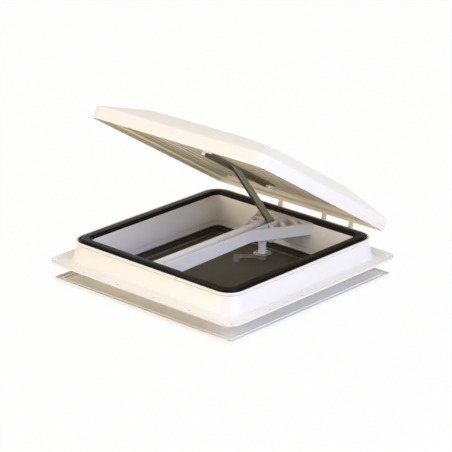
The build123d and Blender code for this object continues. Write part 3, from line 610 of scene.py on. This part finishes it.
def modelLiftArm():
    reach, sheet, deep = arm["reach"], arm["sheet"], arm["halfDepth"]
    tip, heel, foot = onArm(0), onArm(reach), onArm(reach - arm["foot"])
    wide, inset = arm["halfWidth"], arm["inset"]
    piece = hullAcross([(*tip, arm["tipRadius"]), (*heel, deep)], wide)
    bend = [(*foot, arm["footRadius"]), (*heel, arm["heelRadius"]),
            (*arm["pivot"], arm["boss"])]
    carve(piece, [hullAcross(bend, wide)], "UNION")
    inner = wide - sheet
    first, last = onArm(arm["hollow"][0]), onArm(reach - arm["hollow"][1])
    carve(piece, [hullAcross([(*first, arm["hollowTip"]), (*last, deep - sheet)], inner)])
    opened = onArm(reach - arm["openFrom"])
    ends = [(*place, arm["slotEnd"]) for place in (first, opened)]
    carve(piece, [armSpace(arm["slot"], ends, arm["slotDown"])])
    ends = [(*place, deep - sheet - inset) for place in (opened, last)]
    carve(piece, [armSpace(inner - 2 * inset, ends, arm["openDown"])])
    boreAcross(piece, arm["pivot"], arm["drill"], arm["pivotBore"])
    boreAcross(piece, tip, arm["drill"], arm["tipBore"], sides=24)
    for backward in arm["rivets"]:
        boreAcross(piece, onArm(reach - backward), arm["drill"], arm["rivetBore"], sides=20)
    mendMesh(piece)
    roundEdges(piece, arm["round"], 2, 35)
    mendMesh(piece)
    raiseArm(piece)
    return finishPiece(piece, "liftArm", "arm", armSteel, ["lift_arm"], angle=40)


modelLiftArm()
print("lift arm done")

# Operator beam: open-topped bar across the opening, flared at the hinge side with ribbed pockets
beam = {
    "bar": ((-13, -188), (13, -188), (14, 72), (-14, 72)),
    "barSide": ((-184.2, 54.3), (74, 60.2), (74, 84.3), (-187.1, 84.3)),
    "flare": ((-14, 71), (14, 71), (75.6, 189), (-60.7, 189)),
    "flareSide": ((69.5, 60.2), (184.9, 60.2), (187.1, 84.3), (69.5, 84.3)),
    "underBar": ((-10, -179), (10, -179), (11, 72), (-11, 72)),
    "underFlare": ((-11, 71), (11, 71), (67.6, 180), (-54, 180)),
    "planRound": 1, "blank": (45, 95), "sideRound": 0.2, "sideReach": 100,
    "underHeight": (40, 66.8), "housingRoom": (-16, 16, 100, 170, 30, 90),
    "channel": (-10.5, 10.5, -180, 163, 69, 90), "stop": (-10.6, 10.6, -4, 0, 68.5, 77),
    "slot": (-6, 6, 124.8, 163, 50, 80), "pocketHeight": (40, 90),
    "rightPocket": ((14.3, 79), (14.9, 79), (66.6, 179), (14.3, 179)),
    "leftPocket": ((-17.3, 86), (-53.2, 179), (-17.3, 179)),
    "ribs": ((77, -28), (-62, 22)), "ribSteps": (0.36, 0.56, 0.76, 0.96), "ribStart": (14, 70),
    "ribRun": 120, "ribThick": 3.2, "ribHalf": 70, "ribHeight": (35, 100),
    "pivot": (141, 60), "gearRoom": (6, 18.4), "pinBore": (20, 3.05),
    "worm": (0, 119), "wormRoom": (50, 66.8, 7.6), "bushSeat": (60, 72, 4.1),
}


def prism(corners, height):
    return hullUp([(x, y, beam["planRound"]) for x, y in corners], *height, sides=16)


def beamHalf(plan, sides):
    # upright prism of the plan, cut to the side view
    side = [(y, z, beam["sideRound"]) for y, z in beam[sides]]
    return carve(prism(beam[plan], beam["blank"]),
                 [hullAcross(side, beam["sideReach"])], "INTERSECT")


def pocketRibs(farX, angle):
    # cross ribs square to one flared side
    ribs = []
    startX, startY = beam["ribStart"]
    start = math.copysign(startX, farX)
    half, thick = beam["ribHalf"], beam["ribThick"] / 2
    for part in beam["ribSteps"]:
        x, y = start + part * (farX - start), startY + part * beam["ribRun"]
        rib = block(x - half, x + half, y - thick, y + thick, *beam["ribHeight"])
        turnFlat(rib, (x, y, 0), math.radians(angle))
        ribs.append(rib)
    return ribs


def modelBeam():
    piece = carve(beamHalf("bar", "barSide"), [beamHalf("flare", "flareSide")], "UNION")
    under = prism(beam["underBar"], beam["underHeight"])
    carve(under, [prism(beam["underFlare"], beam["underHeight"])], "UNION")
    carve(under, [block(*beam["housingRoom"])])
    carve(piece, [under])
    for side, (farX, angle) in zip(("rightPocket", "leftPocket"), beam["ribs"]):
        pocket = prism(beam[side], beam["pocketHeight"])
        for rib in pocketRibs(farX, angle):
            carve(pocket, [rib])
        carve(piece, [pocket])
    carve(piece, [block(*beam["channel"])])
    carve(piece, [block(*beam["stop"])], "UNION")
    carve(piece, [block(*beam["slot"])])
    boreAcross(piece, beam["pivot"], *beam["gearRoom"], sides=64)
    boreUp(piece, [beam["worm"]], *beam["wormRoom"], sides=40)
    boreUp(piece, [beam["worm"]], *beam["bushSeat"], sides=32)
    boreAcross(piece, beam["pivot"], *beam["pinBore"])
    return finishPiece(piece, "operatorBeam", "frame", whiteAbs, ["operator_beam"], angle=30)


modelBeam()
print("beam done")

# Lid rail: folded strip with rolled lips, a long skirt on its left and end caps
rail = {"ends": (-114, 107), "outer": 11.6, "inner": 10.1, "roof": (107, 108.5), "lip": (93.2, 94.6),
        "wallTop": 108, "skirt": 86.3, "slot": 4.9, "roll": 0.85, "rollShort": 0.3, "lap": 0.2,
        "screws": (-98, 34, 90), "hole": (105.3, 110.7, 1.6), "capRound": 0.5}
railCaps = (  # each cap's plate, the blocks added to it and the notches cut from it
    ((-11.6, 11.6, -117, -114, 93.2, 108.5),
     ((-11.6, -4, -117, -114, 86.3, 94), (-9, 9, -114.5, -109, 94.8, 107)), ()),
    ((-11.6, 11.6, 107, 110, 86.3, 108.5),
     ((-9, 9, 99, 107.5, 94.8, 107), (-10, 10, 104, 107.5, 86.3, 93)),
     ((-6, -3, 103, 111, 85.3, 90.3), (3, 6, 103, 111, 85.3, 90.3))),
)


def rollEdge(piece, x, z):
    # rolled edge along the rail, a little short of its ends
    front, rear = rail["ends"]
    short = rail["rollShort"]
    carve(piece, [rod((x, front + short, z), (x, rear - short, z), rail["roll"], sides=20)], "UNION")


def modelRail():
    front, rear = rail["ends"]
    outer, inner, top, skirt = (rail[key] for key in ("outer", "inner", "wallTop", "skirt"))
    low, slot, roll, lap = rail["lip"][0], *(rail[key] for key in ("slot", "roll", "lap"))
    piece = block(-outer, outer, front, rear, *rail["roof"])
    carve(piece, [block(-outer, -inner, front, rear, skirt, top)], "UNION")
    carve(piece, [block(inner, outer, front, rear, low, top)], "UNION")
    for way in (-1, 1):
        across = sorted((way * slot, way * (inner + lap)))
        carve(piece, [block(*across, front, rear, *rail["lip"])], "UNION")
        rollEdge(piece, way * (slot + roll), low + roll)
    rollEdge(piece, -inner - roll + lap / 2, skirt + roll)
    boreUp(piece, [(0, y) for y in rail["screws"]], *rail["hole"])
    openLid(piece)
    return finishPiece(piece, "lidRail", "lid", taupeAbs, ["lid_track"])


def modelRailCaps():
    caps = []
    for plate, parts, notches in railCaps:
        cap = block(*plate)
        for part in parts:
            carve(cap, [block(*part)], "UNION")
        if notches:
            carve(cap, [block(*notch) for notch in notches])
        caps.append(roundEdges(cap, rail["capRound"], 2, 40))
    piece = joinPieces(caps)
    openLid(piece)
    return finishPiece(piece, "railCaps", "lid", whiteAbs, ["track_caps"])


modelRail()
modelRailCaps()
print("rail done")

# Gear housing: neck that widens in a curve to the curved case and the plate below the beam
housing = {
    "neck": ((8, 20.4), (8, 36), (8.3, 41), (9.3, 46), (11, 50.5), (13, 54), (15.3, 57.7)),
    "case": (21.5, 8.5), "above": (-20, 20, 100, 180, 59.6, 90),
    "plate": (-16, 16, 99.5, 169.5, 57, 60), "plateCorner": 3, "gearRoom": (6, 19), "pinBore": (13.1, 2.9),
    "wormBores": ((50.5, 64, 7.6, 40), (15, 34, 6, 48), (33, 52, 4.3, 32)),
    "screws": ((-12.3, 105), (12.3, 105), (-12.3, 164), (12.3, 164)), "screwHole": (50, 64, 1.5),
}


def lathe(centre, profile, sides=48):
    # turned piece: a disc drawn up through the profile's radii and heights
    deselect()
    x, y = centre
    radius, low = profile[0]
    bpy.ops.mesh.primitive_circle_add(vertices=sides, radius=radius * mm, fill_type="NGON",
                                      location=(x * mm, y * mm, low * mm))
    piece = bpy.context.object
    applyPlace(piece)
    editSelect(piece, "polygons", lambda item: True)
    for nextRadius, height in profile[1:]:
        rise = (0, 0, (height - low) * mm)
        bpy.ops.mesh.extrude_region_move(TRANSFORM_OT_translate={"value": rise})
        wider = nextRadius / radius
        bpy.ops.transform.resize(value=(wider, wider, 1), center_override=(x * mm, y * mm, height * mm))
        radius, low = nextRadius, height
    bpy.ops.mesh.select_all(action="SELECT")
    bpy.ops.mesh.normals_make_consistent(inside=False)
    leaveEdit()
    return piece


def modelHousing():
    pivot, worm = beam["pivot"], beam["worm"]
    x0, x1, y0, y1, low, top = housing["plate"]
    corner = housing["plateCorner"]
    corners = [(x, y, corner) for x in (x0 + corner, x1 - corner) for y in (y0 + corner, y1 - corner)]
    plate = hullUp(corners, low, top)
    radius, half = housing["case"]
    case = hullAcross([(*pivot, radius)], half)
    carve(case, [block(*housing["above"])])
    carve(plate, [case], "UNION")
    carve(plate, [lathe(worm, housing["neck"])], "UNION")
    boreAcross(plate, pivot, *housing["gearRoom"], sides=64)
    for bore in housing["wormBores"]:
        boreUp(plate, [worm], *bore)
    boreAcross(plate, pivot, *housing["pinBore"])
    boreUp(plate, housing["screws"], *housing["screwHole"])
    mendMesh(plate)
    return finishPiece(plate, "gearHousing", "frame", whiteAbs, ["gear_housing"])


modelHousing()
print("housing done")

# Winder: pierced chrome rosette above the mesh, cranked handle with a fluted knob below it
winder = {
    "shaft": (0, 119), "knob": (-38.7, 83),
    "disc": 18.5, "discLow": 17.4, "discTop": 18.6, "rim": 1.5, "rimTop": 19.1,
    "neck": (10.5, 9), "neckHeight": (17.6, 20.4), "cut": (10, 25), "bore": 4.6,
    "windows": 8, "window": (11.2, 16.2, 2.2), "discRound": 0.25,
    "arm": (9.7, 14.5), "armHalf": 4.5, "armWall": 2, "hollow": (0.27, 0.8), "hollowHeight": (8.7, 11.1),
    "boss": 6.5, "hub": 8.5, "hubLow": 6.5, "hubTop": 15, "armRound": 0.7,
    "crankBores": (("shaft", 7.5, 20, 4.02, 32), ("shaft", 5, 9, 1.6, 20), ("knob", 5, 20, 2.52, 24)),
    "grip": 6.5, "gripLow": 0.8, "gripTop": 9.4, "gripRound": 0.5,
    "flutes": 10, "fluteOut": 0.5, "flute": (0, 12, 1.1), "knobBores": ((0, 2.9, 4.3, 40), (0, 12, 2.55, 32)),
}


def modelRosette():
    x, y = winder["shaft"]
    low, high = winder["cut"]
    piece = rod((x, y, winder["discLow"]), (x, y, winder["rimTop"]), winder["disc"], sides=64)
    boreUp(piece, [(x, y)], winder["discTop"], high, winder["disc"] - winder["rim"], sides=64)
    neckLow, neckTop = winder["neckHeight"]
    carve(piece, [rod((x, y, neckLow), (x, y, neckTop), *winder["neck"], sides=48)], "UNION")
    near, far, half = winder["window"]
    windows = []
    for number in range(winder["windows"]):
        opening = block(x + near, x + far, y - half, y + half, low, high)
        turnFlat(opening, (x, y, 0), math.radians(360 / winder["windows"] * number))
        windows.append(opening)
    carve(piece, windows)
    boreUp(piece, [(x, y)], low, high, winder["bore"], sides=32)
    roundEdges(piece, winder["discRound"], 2, 40)
    return finishPiece(piece, "chromeRosette", "frame", chromePlate, ["rosette"])


def modelCrank():
    x, y = winder["shaft"]
    endX, endY = winder["knob"]
    low, top = winder["arm"]
    half = winder["armHalf"]
    piece = hullUp([(x, y, half), (endX, endY, half)], low, top, sides=32)
    hollow = hullUp([(x + (endX - x) * part, y + (endY - y) * part, half - winder["armWall"])
                     for part in winder["hollow"]], *winder["hollowHeight"])
    carve(piece, [hollow])
    carve(piece, [rod((endX, endY, low), (endX, endY, top), winder["boss"], sides=40)], "UNION")
    carve(piece, [rod((x, y, winder["hubLow"]), (x, y, winder["hubTop"]), winder["hub"], sides=48)], "UNION")
    roundEdges(piece, winder["armRound"], 3, 40)
    for place, *bore in winder["crankBores"]:
        boreUp(piece, [winder[place]], *bore)
    return finishPiece(piece, "crankHandle", "crank", whiteAbs, ["crank_handle"])


def modelKnob():
    x, y = winder["knob"]
    piece = rod((x, y, winder["gripLow"]), (x, y, winder["gripTop"]), winder["grip"], sides=60)
    far = winder["grip"] + winder["fluteOut"]
    flutes = []
    for number in range(winder["flutes"]):
        angle = 2 * math.pi * number / winder["flutes"]
        flutes.append((x + far * math.cos(angle), y + far * math.sin(angle)))
    boreUp(piece, flutes, *winder["flute"], sides=16)
    roundEdges(piece, winder["gripRound"], 2, 40)
    for bore in winder["knobBores"]:
        boreUp(piece, [(x, y)], *bore)
    return finishPiece(piece, "crankKnob", "knob", whiteAbs, ["crank_knob"])


modelRosette()
modelCrank()
modelKnob()
print("winder done")

# Screws: pan heads with a cross recess; rim and crown are parts of the head's height and radius
screwHead = {"rim": 0.45, "crown": 0.66, "lap": 0.01, "shankLap": 0.2, "slotPast": 1,
             "slotWide": 0.62, "slotLong": 1.7, "slotDeep": 0.9, "linerAt": (158, 160, 96), "linerStep": 6}


def crossScrew(head, headHigh, shank, length):
    # screw at the origin with its head down and its thread up
    rim = -headHigh * screwHead["rim"]
    piece = rod((0, 0, rim), (0, 0, 0), head, sides=32)
    crown = rod((0, 0, -headHigh), (0, 0, rim + screwHead["lap"]), head * screwHead["crown"], head, sides=32)
    carve(piece, [crown], "UNION")
    carve(piece, [rod((0, 0, -screwHead["shankLap"]), (0, 0, length), shank, sides=20)], "UNION")
    wide, long = screwHead["slotWide"] / 2, screwHead["slotLong"]
    low, deep = -headHigh - screwHead["slotPast"], -headHigh + screwHead["slotDeep"]
    slot = block(-wide, wide, -long, long, low, deep)
    carve(slot, [block(-long, long, -wide, wide, low, deep)], "UNION")
    carve(piece, [slot])
    return piece


def linerScrewPlaces():
    x, y, z = screwHead["linerAt"]
    return [(sideX * x + step, sideY * y, z) for sideX in (-1, 1) for sideY in (-1, 1)
            for step in (-screwHead["linerStep"], screwHead["linerStep"])]


# Piece, body, node, (head radius, head height, shank radius, length) and the places of its head's seat
screwSets = (
    ("linerScrews", "lid", "liner_screws", (3, 1.8, 1.7, 12), linerScrewPlaces()),
    ("railScrews", "lid", "track_screws", (3, 1.6, 1.5, 7),
     [(0, y, rail["roof"][0]) for y in rail["screws"]]),
    ("housingScrews", "frame", "housing_screws", (2.8, 1.8, 1.4, 9),
     [(*place, housing["plate"][4]) for place in housing["screws"]]),
    ("crankScrew", "crank", "crank_screw", (4, 2.3, 1.45, 10.5), [(*winder["shaft"], winder["hubLow"])]),
)
for name, body, node, size, places in screwSets:
    screws = copyTo(crossScrew(*size), places)
    if body == "lid":
        openLid(screws)
    finishPiece(screws, name, body, zincSteel, [node])
print("screws done")

# Fly screen's frame, painted brown, with a fine groove beside the mesh, and the cord that clamps the mesh
screenFrame = {
    "profile": (
        (185.6, 171, 2.5, 0.4), (185.6, 171, 17, 0.5), (182.2, 169.1, 17, 0.2), (181.8, 168.9, 16.3, 0.2),
        (180.6, 168.3, 16.3, 0.2), (180.2, 168, 17, 0.2), (171, 163, 17, 0.6), (171, 163, 14.6, 0.5),
        (183.6, 171, 14.6, 0.5), (183.6, 171, 2.5, 0.3)),
    "cord": ((177, 165, 17.4, 0.8), (177, 165, 19.2, 0.8),
             (174.5, 164.5, 19.2, 0.8), (174.5, 164.5, 17.4, 0.8)),
}
screenRing = sweepSquare(screenFrame["profile"])
finishPiece(screenRing, "screenFrame", "frame", brownPaint, ["screen_frame"])
clampCord = sweepSquare(screenFrame["cord"])
finishPiece(clampCord, "screenSpline", "frame", sealRubber, ["screen_spline"])
print("screen frame done")

# Hinges: forked brackets riveted to the flange, and leaves whose tongue reaches down to the pin
hinge = {
    "places": (-130, -59, 59, 130), "axis": (240, 62), "knuckle": 4.5, "pin": (9, 2.05),
    "base": (12.8, 231, 247.5, 42, 44.5), "rivetStep": 9.8, "rivetLine": 245, "rivetHole": (40, 48, 1.55),
    "fork": (3.8, 6.8), "foot": ((233.6, 42.6, 0.6), (246.4, 42.6, 0.6)),
    "leafHalf": 9, "leaf": (226.5, 229.5, 84, 104), "leafScrew": (5, 98, 1.6), "leafDrill": (220, 235),
    "tongueHalf": 3.5, "tongue": ((228, 85, 1), (228.6, 92.4, 0.8)), "corner": 2.5, "round": 0.35,
}


def modelBracket(x):
    half, rear, front, low, top = hinge["base"]
    corner = hinge["corner"]
    piece = hullUp([(x + side * (half - corner), line, corner) for side in (-1, 1)
                    for line in (rear + corner, front - corner)], low, top)
    near, far = hinge["fork"]
    for side in (-1, 1):
        cheek = hullAcross([(*hinge["axis"], hinge["knuckle"]), *hinge["foot"]], (far - near) / 2)
        carve(piece, [slide(cheek, (x + side * (near + far) / 2, 0, 0))], "UNION")
    boreAcross(piece, hinge["axis"], *hinge["pin"], x=x)
    boreUp(piece, [(x + side * hinge["rivetStep"], hinge["rivetLine"]) for side in (-1, 1)],
           *hinge["rivetHole"])
    return roundEdges(piece, hinge["round"], 2, 50)


def modelLeaf(x):
    inside, outside, low, high = hinge["leaf"]
    corner = hinge["corner"]
    edges = [x + side * (hinge["leafHalf"] - corner) for side in (-1, 1)]
    piece = hullRods([rod((edge, inside, height), (edge, outside, height), corner)
                      for edge in edges for height in (low + corner, high - corner)])
    tongue = hullAcross([(*hinge["axis"], hinge["knuckle"]), *hinge["tongue"]], hinge["tongueHalf"])
    carve(piece, [slide(tongue, (x, 0, 0))], "UNION")
    boreAcross(piece, hinge["axis"], *hinge["pin"], x=x)
    step, height, hole = hinge["leafScrew"]
    near, far = hinge["leafDrill"]
    carve(piece, [rod((x + side * step, near, height), (x + side * step, far, height), hole, sides=20)
                  for side in (-1, 1)])
    return roundEdges(piece, hinge["round"], 2, 50)


brackets = joinPieces([modelBracket(x) for x in hinge["places"]])
finishPiece(brackets, "hingeBrackets", "frame", whiteAbs, ["hinge_brackets"])
leaves = joinPieces([modelLeaf(x) for x in hinge["places"]])
openLid(leaves)
finishPiece(leaves, "hingeLeaves", "lid", whiteAbs, ["hinge_leaves"])
print("hinges done")

# Spring clips over the inner lip of the trim, folded from strip, with a dimple
clip = {"turns": ((0, -7), (90, 7), (180, -7), (270, 7)), "half": 5, "lip": 226, "reach": 2.7, "strip": 1,
        "low": 2.5, "top": 6, "past": 1, "dimple": 1.3, "dimpleDeep": 0.4, "round": 0.3}


def modelClip(turn, along):
    low, high = along - clip["half"], along + clip["half"]
    line, reach, top, past = -clip["lip"], clip["reach"], clip["top"], clip["past"]
    inside = reach - clip["strip"]
    piece = block(low, high, line - reach, line + reach, clip["low"], top)
    carve(piece, [block(low - past, high + past, line - inside, line + inside, 0, top - clip["strip"])])
    roundEdges(piece, clip["round"], 2, 50)
    boreUp(piece, [(along, line)], top - clip["dimpleDeep"], top + past, clip["dimple"])
    turnFlat(piece, (0, 0, 0), math.radians(turn))
    return piece


clips = joinPieces([modelClip(*place) for place in clip["turns"]])
# painted light: the clips take the whiter copy of the white ABS
finishPiece(clips, "trimClips", "frame", brightenedTrimAbs, ["trim_clips"])
print("clips done")

# Floor, camera and lights
studio = {
    "azimuth": 42.28, "elevation": 21.93, "roll": 0.29, "distance": 4.4064,
    "ground": 14, "groundLow": 0.0002, "matt": 0.9, "glow": 0.96,
    "floor": "#EDE5D6", "paintedFloorShade": "#A0957F", "sky": "#FFF8EC", "skyLight": 0.58,
    "opening": 0.21,  # half the roof opening, where the floor does not glow and takes a darker colour, a painted shade behind the fly screen
    "aim": (0, 0, 0.12),
}
optics = {"lens": 175.22, "sensor_width": 36, "shift_x": 0.00719, "shift_y": 0.11388, "clip_end": 60}
lamps = {  # place, size, power and colour
    "keyLeft": ((-1.3, -2.9, 1.0), 1.6, 38, "#FFF3E6"),
    "fillRight": ((2.95, -0.4, 1.5), 1.6, 70, "#BCD0FF"),
    "topSoft": ((0.2, 0.3, 3.0), 2.0, 22, "#FFFFFF"),
}


def directRays(tree):
    # light path, and 1 for what the camera sees itself or through a clear surface
    rays = addNode(tree, "ShaderNodeLightPath")
    sources = {0: rays.outputs["Is Camera Ray"], 1: rays.outputs["Is Transmission Ray"]}
    direct = addNode(tree, "ShaderNodeMath", sources, operation="MAXIMUM")
    return rays, direct.outputs["Value"]


def whiteGround(name):
    # white card: shows the object's soft shadow, and reads as white to the camera; under the roof opening it
    # takes a darker colour instead, a painted shade, and does not glow
    material, tree, shader, place = newMaterial(name)
    shader.inputs["Roughness"].default_value = studio["matt"]
    rays, direct = directRays(tree)
    seen = addNode(tree, "ShaderNodeMath", {0: direct, 1: rays.outputs["Is Glossy Ray"]}, operation="MAXIMUM")
    axes = addNode(tree, "ShaderNodeSeparateXYZ", {"Vector": place})
    beyond = {}
    for number, axis in enumerate("XY"):
        size = addNode(tree, "ShaderNodeMath", {0: axes.outputs[axis]}, operation="ABSOLUTE")
        beyond[number] = addNode(tree, "ShaderNodeMath", {0: size.outputs["Value"], 1: studio["opening"]},
                                 operation="GREATER_THAN").outputs["Value"]
    outside = addNode(tree, "ShaderNodeMath", beyond, operation="MAXIMUM").outputs["Value"]
    # painted shade: darker floor colour under the roof opening
    card = addNode(tree, "ShaderNodeMix", {"Factor": outside, "A": linear(studio["paintedFloorShade"]),
                                           "B": linear(studio["floor"])}, data_type="RGBA")
    tree.links.new(card.outputs["Result"], shader.inputs["Base Color"])
    lit = addNode(tree, "ShaderNodeMath", {0: seen.outputs["Value"], 1: outside}, operation="MULTIPLY")
    part = addNode(tree, "ShaderNodeMath", {0: lit.outputs["Value"], 1: studio["glow"]}, operation="MULTIPLY")
    glow = addNode(tree, "ShaderNodeEmission", Color=(1, 1, 1, 1), Strength=1)
    blend = addNode(tree, "ShaderNodeMixShader", {"Fac": part.outputs["Value"], 1: shader.outputs["BSDF"],
                                                  2: glow.outputs["Emission"]})
    tree.links.new(blend.outputs["Shader"], tree.nodes["Material Output"].inputs["Surface"])
    return material


deselect()
bpy.ops.mesh.primitive_plane_add(size=studio["ground"], location=(0, 0, -studio["groundLow"]))
ground = bpy.context.object
ground.name = "ground"
applyPlace(ground)
ground.data.materials.append(whiteGround("whiteCard"))

world = bpy.data.worlds.new("studio")
bpy.context.scene.world = world
world.use_nodes = True
sky = world.node_tree
direct = directRays(sky)[1]
level = addNode(sky, "ShaderNodeMapRange", {"Value": direct, "To Min": studio["skyLight"], "To Max": 1})
tint = addNode(sky, "ShaderNodeMix", {"Factor": direct, "A": linear(studio["sky"]), "B": (1, 1, 1, 1)},
               data_type="RGBA")
sky.links.new(tint.outputs["Result"], sky.nodes["Background"].inputs["Color"])
sky.links.new(level.outputs["Result"], sky.nodes["Background"].inputs["Strength"])

for name, (place, size, power, colour) in lamps.items():
    bpy.ops.object.light_add(type="AREA", location=place)
    lamp = bpy.context.object
    lamp.name = name
    lamp.data.shape = "SQUARE"
    lamp.data.size = size
    lamp.data.energy = power
    lamp.data.color = linear(colour)[:3]
    lamp.rotation_euler = (Vector(studio["aim"]) - Vector(place)).to_track_quat("-Z", "Y").to_euler()

azimuth, elevation = math.radians(studio["azimuth"]), math.radians(studio["elevation"])
back = Vector((math.sin(azimuth) * math.cos(elevation), -math.cos(azimuth) * math.cos(elevation),
               math.sin(elevation)))
bpy.ops.object.camera_add(location=back * studio["distance"])
camera = bpy.context.object
for key, value in optics.items():
    setattr(camera.data, key, value)
aim = (-back).to_track_quat("-Z", "Y").to_matrix().to_4x4()
roll = Matrix.Rotation(math.radians(studio["roll"]), 4, "Z")
camera.matrix_world = Matrix.Translation(back * studio["distance"]) @ aim @ roll
bpy.context.scene.camera = camera
bpy.context.scene.view_settings.view_transform = "Standard"
print("studio set")
